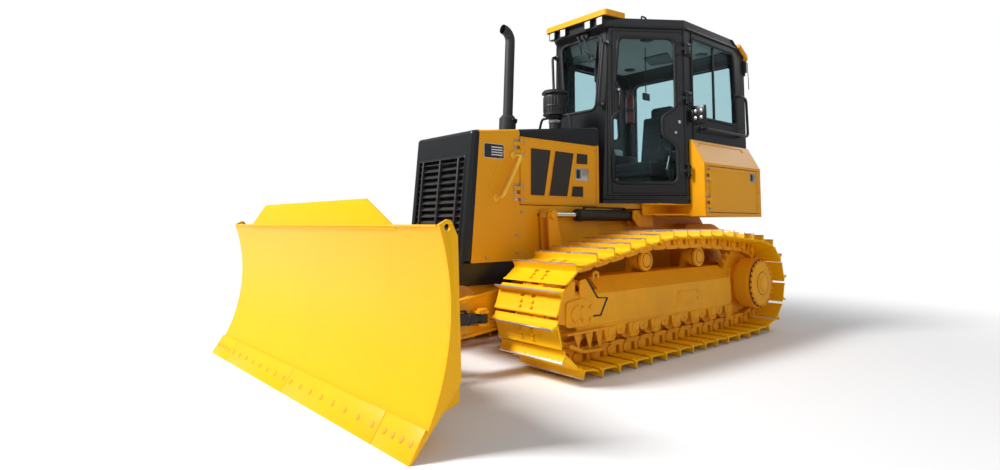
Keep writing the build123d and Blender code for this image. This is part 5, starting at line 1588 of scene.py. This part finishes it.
# ---------------------------------------------------------------- side boxes and steps
class DOZER_OT_boxes(bpy.types.Operator):
    """Side boxes: raised lid panel, latch, strip hinges, seams and the tank's cap"""

    bl_idname = "dozer.boxes"
    bl_label = "Side boxes"

    def execute(self, context):
        low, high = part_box("side_box")
        lid_low, lid_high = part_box("box_door")
        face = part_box("fuel_tank")[0][0] * -1
        y0, y1, z0, z1 = lid_low[1] + 0.012, lid_high[1], lid_low[2], lid_high[2]
        ring = [
            (face + 0.001, y0 + 0.028, z0 + 0.018), (face + 0.001, y1 - 0.022, z0 + 0.018),
            (face + 0.001, y1 - 0.022, z1 - 0.018), (face + 0.001, y0 + 0.028, z1 - 0.018),
        ]
        dress(tube("lid_rib", ring, 0.0045, closed=True, bend=0.02, sides=3), "yellow paint", "box_door")
        at = (y1 - 0.14, z1 - 0.105)
        pan, paddle, lock = (0, 0.105, 0, 0.082), (0.04, 0.095, 0.01, 0.072), (0.067, 0.041, 0.011)
        dress(latch("box_latch", at, face, pan, paddle, lock), "stainless", "box_door")
        pocket = finger_pocket("box_latch_pocket", at, face, (0.008, 0.036, 0.01, 0.072))
        dress(pocket, "rubber", "box_door")
        hinge_x, hinge_y = JOINTS["box_door"][:2]
        strips, leaves = [], []
        for z in (z0 + 0.08, z1 - 0.08):
            places = ((-0.042, -0.012), (0.02, 0.046))
            held, swung = strip_hinge(hinge_x, hinge_y, z, face, places, 0.056, 0.006, 0.005, 0.008, 0.058)
            strips += held
            leaves.append(swung)
        dress(join("box_hinge_strips", *strips), "stainless")
        dress(join("lid_hinge_strips", *leaves), "stainless", "box_door")

        fold = lid_high[2] + 0.026
        ledge = face - 0.115
        down = Vector((face - ledge, 0, fold - high[2]))
        groove = []
        for a, share in ((0.075, 0.26), (0.09, 0.12), (0.825, 0.12), (0.84, 0.26)):
            groove.append(Vector((ledge, low[1] + a, high[2])) + down * share + Vector((0.001, 0, 0.001)))
        both(tube("slope_rib", groove, 0.0045, bend=0.02, sides=3), "yellow paint")
        both(
            tube(
                "fold_edge", [(face - 0.001, low[1] + 0.002, fold), (face - 0.001, high[1] - 0.002, fold)], 0.004,
                sides=3,
            ),
            "yellow paint",
        )
        corner = [
            (face - 0.002, low[1] + 0.001, low[2] + 0.004), (face - 0.002, low[1] + 0.001, fold),
            (ledge, low[1] + 0.001, high[2] - 0.002),
        ]
        both(tube("front_edge", corner, 0.004, sides=3), "yellow paint")
        tank_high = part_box("fuel_tank")[1]
        cap = join(
            "tank_cap",
            lathe(
                "cap", (-ledge - 0.02, low[1] + 0.232, tank_high[2] - 0.012), "Z",
                [(0, 0.047), (0.022, 0.047), (0.03, 0.038), (0.034, 0.0)], 32,
            ),
            block(
                "grip", (-ledge - 0.062, low[1] + 0.222, tank_high[2] + 0.012),
                (-ledge + 0.022, low[1] + 0.242, tank_high[2] + 0.034),
            ),
        )
        dress(cap, "black plastic")
        bolts = [
            (face - 0.001, y, z)
            for y in (low[1] + 0.03, high[1] - 0.03)
            for z in (low[2] + 0.028, low[2] + 0.23, fold - 0.03)
        ]
        both(bolt_heads("box_bolts", bolts, "X", 0.01, 0.008, 12), "yellow paint")
        return {"FINISHED"}


class DOZER_OT_steps(bpy.types.Operator):
    """Round studs on the steps and the bent edge round them"""

    bl_idname = "dozer.steps"
    bl_label = "Steps"

    def execute(self, context):
        low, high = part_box("step_left")
        top = high[2]
        studs = []
        for i in range(4):
            for k in range(8):
                x, y = low[0] + 0.03 + i * 0.045, low[1] + 0.055 + k * 0.045
                if x < low[0] + 0.018 + (y - low[1]) * (high[0] - low[0]) / (high[1] - low[1]) - 0.02:
                    studs.append((x, y, top - 0.003))
        both(bolt_heads("tread_studs", studs, "Z", 0.011, 0.006, 12), "yellow paint")
        edge = [
            (high[0] - 0.002, high[1] - 0.004, top - 0.008), (low[0] + 0.02, low[1] + 0.002, top - 0.008),
            (low[0] + 0.004, low[1] + 0.002, top - 0.008),
        ]
        both(tube("step_edge", edge, 0.007, bend=0.02, sides=3), "yellow paint")
        return {"FINISHED"}


# ---------------------------------------------------------------- blade
def arc_through(a, b, c, steps):
    """Points on the circle through three flat points, from the first to the last."""
    a, b, c = Vector(a), Vector(b), Vector(c)
    turn = 2 * (a.x * (b.y - c.y) + b.x * (c.y - a.y) + c.x * (a.y - b.y))
    middle = Vector(
        (
            (a.length_squared * (b.y - c.y) + b.length_squared * (c.y - a.y) + c.length_squared * (a.y - b.y)) / turn,
            (a.length_squared * (c.x - b.x) + b.length_squared * (a.x - c.x) + c.length_squared * (b.x - a.x)) / turn,
        )
    )
    first = math.atan2(a.y - middle.y, a.x - middle.x)
    last = math.atan2(c.y - middle.y, c.x - middle.x)
    radius = (a - middle).length
    angles = [first + (last - first) * k / steps for k in range(steps + 1)]
    return [(middle.x + radius * math.cos(t), middle.y + radius * math.sin(t)) for t in angles]


class DOZER_OT_blade(bpy.types.Operator):
    """Blade: rolled mouldboard, end plates with lifting ears, torque box, ribs, spill guard and wear strips"""

    bl_idname = "dozer.blade"
    bl_label = "Blade"

    def execute(self, context):
        low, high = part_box("blade")
        half = high[0]
        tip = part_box("cutting_edge")[0][1]
        foot = Vector((tip + 0.088, 0.112))
        rise = foot - Vector((tip + 0.017, 0))
        bowl = arc_through(foot, (tip + 0.199, 0.6), (tip + 0.132, 0.962), 28)
        back = [(y + 0.016, z) for y, z in bowl]
        foot_tip = foot - rise.normalized() * 0.104
        sheet = plate(
            "sheet", bowl + back[::-1] + [(foot_tip.x + 0.014, foot_tip.y - 0.006), tuple(foot_tip)], "X",
            -half + 0.012, 2 * half - 0.024,
        )
        rear = tip + 0.305
        box_line = [p for p in back if p[1] < 0.62]
        torque = plate(
            "torque_box", [(y - 0.004, z) for y, z in box_line] + [(rear, 0.59), (rear, 0.17)], "X", -half + 0.075,
            2 * half - 0.15, 0.006,
        )
        parts = [sheet, torque]
        for side in (-1, 1):
            ear = [
                (tip + 0.175, 0.985), (tip + 0.197, 0.983), (tip + 0.234, 0.913), (tip + 0.259, 0.3),
                (tip + 0.25, 0.27),
                (foot.x - 0.054, foot.y - 0.088),
            ]
            end = plate(
                "end_plate", bowl + rounded(ear, 0.008, 4, closed=False), "X",
                side * half - (0.016 if side > 0 else 0), 0.016,
            )
            hole = drum(
                "hole", (side * half - 0.05, tip + 0.178, 0.951), (side * half + 0.05, tip + 0.178, 0.951), 0.016, 0,
                24,
            )
            parts.append(soften(cut(end, hole), 0.002, 2))
            for x in (0.45, 0.9):
                rib = [p for p in back if 0.56 < p[1] < 0.94]
                rib = [(y - 0.004, z) for y, z in rib] + [(tip + 0.227, 0.93), (tip + 0.262, 0.585)]
                parts.append(plate("rib", rib, "X", side * x - 0.008, 0.016, 0.002))
        guard = [(-1.045, 0.94), (1.045, 0.94), (0.735, low[2] + 1.079), (-0.735, low[2] + 1.079)]
        parts.append(plate("spill_guard", guard, "Y", tip + 0.134, 0.012, 0.002))
        boss = plate("boss", card(-0.17, 0.17, 0.18, 0.42, 0.02), "Y", rear - 0.03, 0.077, 0.006)
        bore = drum("bore", (0, rear - 0.06, 0.3), (0, rear + 0.12, 0.3), 0.046, 0)
        parts.append(cut(boss, bore))
        blade = join("blade_shape", *parts)
        dress(blade, "blade paint", "blade")
        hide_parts("blade")

        along = rise.normalized()
        out = Vector((-along.y, along.x))
        if out.x > 0:
            out = -out
        seams = (-half, -1.062, 0.0, 1.08, half)
        strips, heads = [], []
        for x0, x1 in zip(seams, seams[1:]):
            base = Vector((tip, 0.0))
            outline = [base, base + along * 0.1484, base + along * 0.1484 - out * 0.0195, Vector((tip + 0.019, 0.0))]
            strips.append(plate("strip", [tuple(p) for p in outline], "X", x0 + 0.0015, x1 - x0 - 0.003, 0.0025))
            count = 4 if x1 - x0 < 0.6 else 8
            inset = 0.055
            for k in range(count):
                x = x0 + inset + (x1 - x0 - 2 * inset) * k / (count - 1)
                spot = base + along * 0.075
                heads.append(Vector((x, spot.x, spot.y)))
        strip = join("cutting_strips", *strips)
        dress(strip, "blade paint", "blade")
        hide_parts("cutting_edge")
        normal = Vector((0, out.x, out.y))
        bolts = [drum("bolt", spot - normal * 0.004, spot + normal * 0.0035, 0.015, 0.0015, 14) for spot in heads]
        dress(join("edge_bolts", *bolts), "blade bolt", "blade")
        weld = tube(
            "foot_weld",
            [
                (-half + 0.02, bowl[0][0] - 0.001, bowl[0][1] + 0.004),
                (half - 0.02, bowl[0][0] - 0.001, bowl[0][1] + 0.004),
            ],
            0.004, sides=3,
        )
        dress(weld, "blade paint", "blade")
        top = [(-half + 0.02, tip + 0.1335, 0.957), (half - 0.02, tip + 0.1335, 0.957)]
        dress(tube("top_bar", top, 0.006, sides=3), "blade paint", "blade")
        return {"FINISHED"}


# ---------------------------------------------------------------- linkage
def cylinder_trim(name, barrel, start, along, tube_radius, rod_radius, barrel_end):
    """Gland, wiper, weld ring, ports and pipe of a cylinder that runs along a line from its base pin."""
    start, along = Vector(start), Vector(along).normalized()
    up = Vector((0, 0, 1))
    across = along.cross(up).normalized()
    rise = across.cross(along)
    first, last = 0.125, barrel_end - 0.085
    ring_middle = start + along * 0.104
    ring = [ring_middle + across * a + rise * b for a, b in circle(0, 0, tube_radius - 0.0005, 32)]
    profile = [
        (0, tube_radius + 0.004), (0.042, tube_radius + 0.004), (0.048, tube_radius - 0.008),
        (0.0505, rod_radius + 0.006),
    ]
    parts = [
        lathe("gland", start + along * (barrel_end - 0.05), along, profile, 36),
        tube("ring", ring, 0.0045, closed=True, sides=3),
    ]
    for place in (first, last):
        port = start + along * place + up * (tube_radius - 0.004)
        if abs(along.y) > 0.9:
            low, high = Vector((-0.0084, -0.0084, 0)), Vector((0.014, 0.014, 0.024))
            parts.append(block("port", port - along * 0.016 + low, port + along * 0.016 + high, 0.003))
        else:
            parts.append(drum("port", port, port + up * 0.026, 0.015, 0.002, 20))
    pipe = [start + along * place + up * (tube_radius + 0.016) for place in (first, last)]
    parts.append(tube("pipe", pipe, 0.007, sides=3))
    lip = [(0, rod_radius + 0.0055), (0.0045, rod_radius + 0.003)]
    wiper = lathe(name + "_wiper", start + along * (barrel_end - 0.002), along, lip, 32)
    dress(join(name + "_trim", *parts), "black plastic", barrel)
    dress(wiper, "rubber", barrel)


class DOZER_OT_linkage(bpy.types.Operator):
    """Cylinders' glands and pipes, pin heads with keeper plates, trunnion caps and arm seams"""

    bl_idname = "dozer.linkage"
    bl_label = "Linkage"

    def execute(self, context):
        for word, side in SIDES:
            base = JOINTS[f"lift_barrel_{word}"]
            barrel_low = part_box(f"lift_barrel_{word}")[0]
            cylinder_trim(
                f"lift_{word}", f"lift_barrel_{word}", base, (0, -1, 0), 0.045, 0.022, base[1] - barrel_low[1]
            )
            base = JOINTS[f"angle_barrel_{word}"]
            along = (side * 0.38 - base[0], -0.65, 0)
            cylinder_trim(f"angle_{word}", f"angle_barrel_{word}", base, along, 0.038, 0.018, 0.44)
        cylinder_trim("tilt", "tilt_barrel", JOINTS["tilt_barrel"], (1, 0, 0), 0.038, 0.018, 0.56)

        x, _, z = JOINTS["lift_barrel_left"]
        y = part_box("lift_rod_left")[0][1] + 0.04
        pin = join(
            "tower_pin",
            drum("head", (x + 0.05, y, z), (x + 0.066, y, z), 0.034, 0.004, 24),
            plate("keeper", card(y - 0.048, y + 0.048, z - 0.018, z + 0.018, 0.012), "X", x + 0.045, 0.008, 0.002),
            drum("bolt", (x + 0.05, y + 0.038, z), (x + 0.06, y + 0.038, z), 0.009, 0.001, 6),
        )
        both(pin, "yellow paint", "push_frame")
        pivot = Vector(JOINTS["lift"])
        outer = 0.466
        cap_bolts = [(outer + 0.009, a, b) for a, b in circle(pivot.y, pivot.z, 0.066, 6)]
        ring = join(
            "trunnion_cap",
            lathe(
                "cap", (outer - 0.002, pivot.y, pivot.z), "X",
                [(0, 0.092), (0.008, 0.092), (0.012, 0.08), (0.013, 0.0)], 36,
            ),
            bolt_heads("cap_bolts", cap_bolts, "X", 0.009, 0.006),
        )
        both(ring, "running gear paint", "push_frame")
        face = 0.43
        arm_top = [(-0.3, 0.6), (-0.828, 0.514), (-1.15, 0.457)]
        arm_low = [(-0.3, 0.332), (-1.14, 0.25)]
        seams = [tube("seam", [(face + 0.001, a, b) for a, b in line], 0.005, sides=3) for line in (arm_top, arm_low)]
        both(join("arm_seams", *seams), "yellow paint", "push_frame")
        base = Vector(JOINTS["angle_barrel_left"])
        both(
            drum("angle_pin_cap", base + Vector((0, 0, 0.046)), base + Vector((0, 0, 0.06)), 0.034, 0.003, 24),
            "yellow paint", "push_frame",
        )
        nose_y = -1.6
        nose_bolts = [(a, b, 0.454) for a, b in circle(0, nose_y, 0.048, 6)]
        cap = join(
            "nose_cap",
            lathe("cap", (0, nose_y, 0.438), "Z", [(0, 0.07), (0.012, 0.07), (0.018, 0.058), (0.02, 0.0)]),
            bolt_heads("bolts", nose_bolts, "Z", 0.008, 0.007),
        )
        dress(cap, "yellow paint", "blade_carrier")
        return {"FINISHED"}


# ---------------------------------------------------------------- undercarriage
class DOZER_OT_undercarriage(bpy.types.Operator):
    """Track frames' lids, guards, brackets, final drive covers and carrier caps"""

    bl_idname = "dozer.undercarriage"
    bl_label = "Undercarriage"

    def execute(self, context):
        _, hub_y, hub_z = centre("final_drive_left")
        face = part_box("final_drive_left")[1][0] - 0.034
        scallops = []
        teeth = 24
        for k in range(teeth * 6):
            turn = k / (teeth * 6) * math.tau
            wave = 0.5 + 0.5 * math.cos(turn * teeth)
            reach = 0.176 + 0.031 * wave ** 0.5
            scallops.append((hub_y + reach * math.cos(turn), hub_z + reach * math.sin(turn)))
        # A dark disc in the rubber finish behind the scalloped cover: painted shade in the valleys between the
        # scallops.
        both(lathe("drive_gasket", (face - 0.001, hub_y, hub_z), "X", [(0, 0.2105), (0.003, 0.2105)], 64), "rubber")
        both(hoop("drive_ring", face + 0.019, hub_y, hub_z, 0.1, 40, 0.004), "rubber")
        cover = join(
            "drive_cover",
            plate("scallops", scallops, "X", face + 0.001, 0.012, 0.002),
            lathe(
                "dish", (face + 0.012, hub_y, hub_z), "X", [(0, 0.16), (0.005, 0.152), (0.006, 0.11), (0.012, 0.094)],
                56,
            ),
            lathe("hub", (face + 0.0245, hub_y, hub_z), "X", [(0, 0.09), (0.004, 0.084), (0.0045, 0.062)], 56),
            ring_of_bolts("hub_bolts", face + 0.024, hub_y, hub_z, 0.073, 10, 0.0075, 0.007),
            drum("plug", (face + 0.032, hub_y, hub_z), (face + 0.0335, hub_y, hub_z), 0.03, 0.0005),
        )
        both(cover, "running gear paint")
        both(
            ring_of_bolts("drive_rim_bolts", face + 0.012, hub_y, hub_z, 0.19, teeth, 0.0095, 0.009),
            "running gear paint",
        )
        caps = []
        for y, z in CARRIERS:
            caps.append(
                lathe(
                    "cap", (0.7995, y, z), "X",
                    [(0, 0.0775), (0.006, 0.074), (0.008, 0.05), (0.004, 0.046), (0.004, 0.0)], 48,
                ),
            )
            caps.append(ring_of_bolts("cap_bolts", 0.806, y, z, 0.061, 4, 0.0065, 0.006, 0.6))
        both(join("carrier_caps", *caps), "running gear paint")
        profile = [(0, 0.0835), (0.004, 0.0835), (0.005, 0.0768), (0.01, 0.0768)]
        grooves = [lathe("groove", (0.777, y, z), "X", profile, 48) for y, z in CARRIERS]
        grooves += [hoop("ring", 0.8065, y, z, 0.053, 32, 0.003) for y, z in CARRIERS]
        both(join("carrier_grooves", *grooves), "rubber")

        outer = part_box("track_frame_left")[1][0]
        fold = tube("beam_fold", [(outer - 0.001, -0.267, 0.498), (outer - 0.001, 1.345, 0.5)], 0.006, sides=3)
        foot = tube("beam_foot", [(outer - 0.001, -0.59, 0.292), (outer - 0.001, 1.32, 0.272)], 0.006, sides=3)
        rear = tube("beam_rear", [(outer - 0.002, 1.357, 0.58), (outer - 0.002, 1.375, 0.31)], 0.006, sides=3)
        both(join("beam_edges", fold, foot, rear), "running gear paint")
        blocks = []
        bolts = []
        pitch = (ROLLER_LAST - ROLLER_FIRST) / (ROLLER_COUNT - 1)
        for k in range(ROLLER_COUNT):
            y = ROLLER_FIRST + pitch * k
            outline = [(y - 0.064, 0.272), (y - 0.046, 0.176), (y + 0.046, 0.176), (y + 0.064, 0.272)]
            blocks.append(plate("shoe", rounded(outline, 0.012), "X", outer - 0.002, 0.012, 0.003))
            blocks.append(drum("shaft", (outer + 0.006, y, 0.2343), (outer + 0.016, y, 0.2343), 0.03, 0.003, 28))
            bolts += [(outer + 0.008, y + a, 0.2) for a in (-0.034, 0.034)]
        for k in range(ROLLER_COUNT - 1):
            y = ROLLER_FIRST + pitch * (k + 0.5)
            outline = [(y - 0.066, 0.3), (y - 0.04, 0.206), (y + 0.04, 0.206), (y + 0.066, 0.3)]
            blocks.append(plate("guard", rounded(outline, 0.016), "X", outer - 0.014, 0.01, 0.002))
            bolts.append((outer - 0.005, y, 0.236))
        both(join("roller_brackets", *blocks), "running gear paint")
        both(bolt_heads("bracket_bolts", bolts, "X", 0.0125, 0.01), "running gear paint")
        _, iy, iz = centre("idler_left")
        yoke = join(
            "idler_yoke",
            plate(
                "pad",
                rounded(
                    [
                        (iy - 0.1, iz - 0.08), (iy + 0.15, iz - 0.08), (iy + 0.17, iz + 0.06), (iy + 0.06, iz + 0.1),
                        (iy - 0.1, iz + 0.08),
                    ],
                    0.03,
                ),
                "X", outer - 0.002, 0.014, 0.004,
            ),
            lathe(
                "boss", (outer + 0.01, iy, iz), "X",
                [(0, 0.06), (0.01, 0.056), (0.012, 0.038), (0.006, 0.034), (0.006, 0.0)],
            ),
            ring_of_bolts("boss_bolts", outer + 0.0195, iy, iz, 0.047, 4, 0.0065, 0.006, 0.78),
        )
        both(yoke, "running gear paint")
        shelf = [block("shelf", (outer - 0.03, -0.7, 0.262), (outer + 0.03, -0.335, 0.276))]
        lip = plate(
            "lip",
            rounded(
                [
                    (-0.335, 0.122), (-0.335, 0.14), (-0.52, 0.15), (-0.64, 0.2), (-0.668, 0.196), (-0.655, 0.176),
                    (-0.53, 0.13),
                ],
                0.006,
            ),
            "X", outer - 0.02, 0.03, 0.003,
        )
        shelf.append(lip)
        for y, drop in ((-0.56, 0.166), (-0.45, 0.15), (-0.35, 0.14)):
            outline = [(y - 0.046, 0.264), (y + 0.034, 0.264), (y + 0.006, drop), (y - 0.006, drop)]
            shelf.append(plate("web", outline, "X", outer - 0.018, 0.01, 0.002))
        both(join("yoke_shelf", *shelf), "running gear paint")
        spots = [(outer + 0.011, y, z) for y in (iy + 0.055, iy + 0.13) for z in (iz - 0.045, iz + 0.035)]
        both(bolt_heads("yoke_bolts", spots, "X", 0.014, 0.012), "running gear paint")
        lug = plate(
            "lift_lug", rounded([(-0.345, 0.48), (-0.243, 0.48), (-0.262, 0.64), (-0.326, 0.64)], 0.026), "X", 0.79,
            0.026, 0.005,
        )
        hole = drum("hole", (0.77, -0.294, 0.608), (0.84, -0.294, 0.608), 0.014, 0, 20)
        both(cut(lug, hole), "yellow paint")
        case = join(
            "steering_case",
            plate(
                "case",
                rounded(
                    [(1.37, 0.56), (2.02, 0.545), (2.05, 0.59), (2.05, 0.9), (1.9, 0.96), (1.42, 0.96), (1.37, 0.86)],
                    0.05,
                ),
                "X", 0.298, 0.155, 0.012,
            ),
            ring_of_bolts("case_bolts", 0.451, 1.73, 0.76, 0.15, 10, 0.01, 0.009),
            lathe("case_cover", (0.45, 1.73, 0.76), "X", [(0, 0.125), (0.008, 0.118), (0.01, 0.0)]),
        )
        both(case, "running gear paint")
        infill = plate(
            "idler_guard",
            rounded(
                [
                    (-0.56, 0.596), (-0.5, 0.606), (-0.392, 0.47), (-0.298, 0.462), (-0.362, 0.361), (-0.44, 0.365),
                    (-0.475, 0.33), (-0.56, 0.33),
                ],
                0.01,
            ),
            "X", outer - 0.006, 0.012, 0.003,
        )
        both(infill, "running gear paint")
        # A thin dark sheet in the rubber finish along the idler guard's edge: painted shade in the cavity round the
        # idler.
        painted_shade_sheet = plate(
            "idler_gap",
            [
                (-0.5, 0.606), (-0.482, 0.606), (-0.374, 0.476), (-0.27, 0.466), (-0.346, 0.35), (-0.426, 0.352),
                (-0.455, 0.324), (-0.475, 0.33),
                (-0.44, 0.365), (-0.362, 0.361), (-0.298, 0.462), (-0.392, 0.47),
            ],
            "X", outer - 0.004, 0.006,
        )
        both(painted_shade_sheet, "rubber")
        cover_y0, cover_y1 = 0.56, 0.86
        hatch = plate("grease_hatch", card(cover_y0, cover_y1, 0.352, 0.44, 0.014), "X", outer - 0.002, 0.007, 0.002)
        both(hatch, "running gear paint")
        spots = [(outer + 0.004, y, z) for y in (cover_y0 + 0.022, cover_y1 - 0.022) for z in (0.372, 0.42)]
        both(bolt_heads("hatch_bolts", spots, "X", 0.008, 0.007), "running gear paint")
        return {"FINISHED"}


# ---------------------------------------------------------------- stage
FLOOR_RADIUS = 60
CAMERA_YAW, CAMERA_PITCH, CAMERA_ROLL = 0.838, 0.08, -0.001
CAMERA_PLACE = (3.506, -3.4185, 0.968)
SENSOR_WIDTH = 36


def seen_through(tree):
    """One for rays straight from the camera or through glass."""
    path = add_node(tree, "ShaderNodeLightPath").outputs
    return maths(tree, "MAXIMUM", path["Is Camera Ray"], path["Is Transmission Ray"])


class DOZER_OT_stage(bpy.types.Operator):
    """Floor, soft lamps, pale surroundings and the camera"""

    bl_idname = "dozer.stage"
    bl_label = "Stage"

    def execute(self, context):
        floor = outline_points("floor", 96, "NGON")
        floor.data.transform(Matrix.Scale(FLOOR_RADIUS, 4))
        tree, surface = material("pale floor")
        feed(
            tree, surface, [("Base Color", (0.88, 0.88, 0.88, 1)), ("Roughness", 0.9), ("Specular IOR Level", 0.1)]
        )
        glow = add_node(tree, "ShaderNodeEmission", [("Color", (1, 1, 1, 1)), ("Strength", 1.0)])
        reach = add_node(tree, "ShaderNodeVectorMath", [(0, place_of(tree))], operation="LENGTH").outputs["Value"]
        far = remap(tree, reach, 2.6, 5.5, interpolation_type="SMOOTHSTEP")
        share = maths(tree, "MULTIPLY", far, seen_through(tree))
        mix = add_node(tree, "ShaderNodeMixShader", [(0, share), (1, surface.outputs[0]), (2, glow.outputs[0])])
        feed(tree, tree.nodes["Material Output"], [("Surface", mix.outputs[0])])
        floor.data.materials.append(bpy.data.materials["pale floor"])

        world = bpy.data.worlds.new("studio")
        context.scene.world = world
        world.use_nodes = True
        tree = world.node_tree
        tree.nodes.clear()
        soft = add_node(tree, "ShaderNodeBackground", [("Color", (0.93, 0.96, 1.0, 1)), ("Strength", 0.34)])
        white = add_node(tree, "ShaderNodeBackground", [("Color", (1, 1, 1, 1)), ("Strength", 1.0)])
        feeds = [(0, seen_through(tree)), (1, soft.outputs[0]), (2, white.outputs[0])]
        mix = add_node(tree, "ShaderNodeMixShader", feeds)
        add_node(tree, "ShaderNodeOutputWorld", [("Surface", mix.outputs[0])])

        for name, place, aim, size, power in (
            ("key", (-3.5, -8.0, 9.0), (0, -0.5, 0.8), 3.2, 1800),
            ("fill", (8.0, -2.5, 4.5), (0, 0.2, 1.0), 5.0, 70),
            ("rim", (1.5, 8.0, 6.0), (0, 0.5, 1.0), 4.0, 120),
        ):
            bpy.ops.object.light_add(type="AREA", location=place)
            lamp = bpy.context.object
            lamp.name = name
            lamp.data.size = size
            lamp.data.energy = power
            lamp.rotation_euler = (Vector(aim) - Vector(place)).to_track_quat("-Z", "Y").to_euler()

        yaw, pitch, roll = CAMERA_YAW, CAMERA_PITCH, CAMERA_ROLL
        ahead = Vector((-math.sin(yaw) * math.cos(pitch), math.cos(yaw) * math.cos(pitch), math.sin(pitch)))
        right = Vector((math.cos(yaw), math.sin(yaw), 0))
        above = right.cross(ahead)
        right, above = (
            right * math.cos(roll) + above * math.sin(roll),
            above * math.cos(roll) - right * math.sin(roll),
        )
        camera = bpy.data.cameras.new("view")
        holder = bpy.data.objects.new("view", camera)
        context.collection.objects.link(holder)
        turn = Matrix((right, above, -ahead)).transposed()
        holder.matrix_world = Matrix.Translation(CAMERA_PLACE) @ turn.to_4x4()
        camera.sensor_width = SENSOR_WIDTH
        camera.lens = SENSOR_WIDTH * 0.58757
        camera.shift_x = -0.02015
        camera.shift_y = -0.0589
        camera.clip_end = 200
        context.scene.camera = holder
        context.scene.view_settings.view_transform = "Standard"
        return {"FINISHED"}


# ---------------------------------------------------------------- panel and run
class DOZER_PT_panel(bpy.types.Panel):
    """Every piece of the bulldozer, one button each"""

    bl_label = "Crawler bulldozer"
    bl_idname = "DOZER_PT_panel"
    bl_space_type = "VIEW_3D"
    bl_region_type = "UI"
    bl_category = "Dozer"

    def draw(self, context):
        for group in (colours(), sizes()):
            for name in group.__annotations__:
                self.layout.prop(group, name)
        for step in STEPS:
            self.layout.operator(step.bl_idname)


STEPS = (
    DOZER_OT_stage,
    DOZER_OT_finishes,
    DOZER_OT_tracks,
    DOZER_OT_cab_seals,
    DOZER_OT_cab_doors,
    DOZER_OT_cab_outside,
    DOZER_OT_wipers,
    DOZER_OT_lamps,
    DOZER_OT_visor,
    DOZER_OT_cab_inside,
    DOZER_OT_engine_doors,
    DOZER_OT_hood,
    DOZER_OT_grille,
    DOZER_OT_stack,
    DOZER_OT_boxes,
    DOZER_OT_steps,
    DOZER_OT_blade,
    DOZER_OT_linkage,
    DOZER_OT_undercarriage,
)
CLASSES = (DozerColours, DozerSizes, *STEPS, DOZER_PT_panel)


def register():
    for each in CLASSES:
        bpy.utils.register_class(each)
    bpy.types.Scene.dozer_colours = PointerProperty(type=DozerColours)
    bpy.types.Scene.dozer_sizes = PointerProperty(type=DozerSizes)


def unregister():
    del bpy.types.Scene.dozer_sizes
    del bpy.types.Scene.dozer_colours
    for each in reversed(CLASSES):
        bpy.utils.unregister_class(each)


def main():
    register()
    for step in STEPS:
        area, name = step.bl_idname.split(".")
        getattr(getattr(bpy.ops, area), name)()


if __name__ == "__main__":
    main()
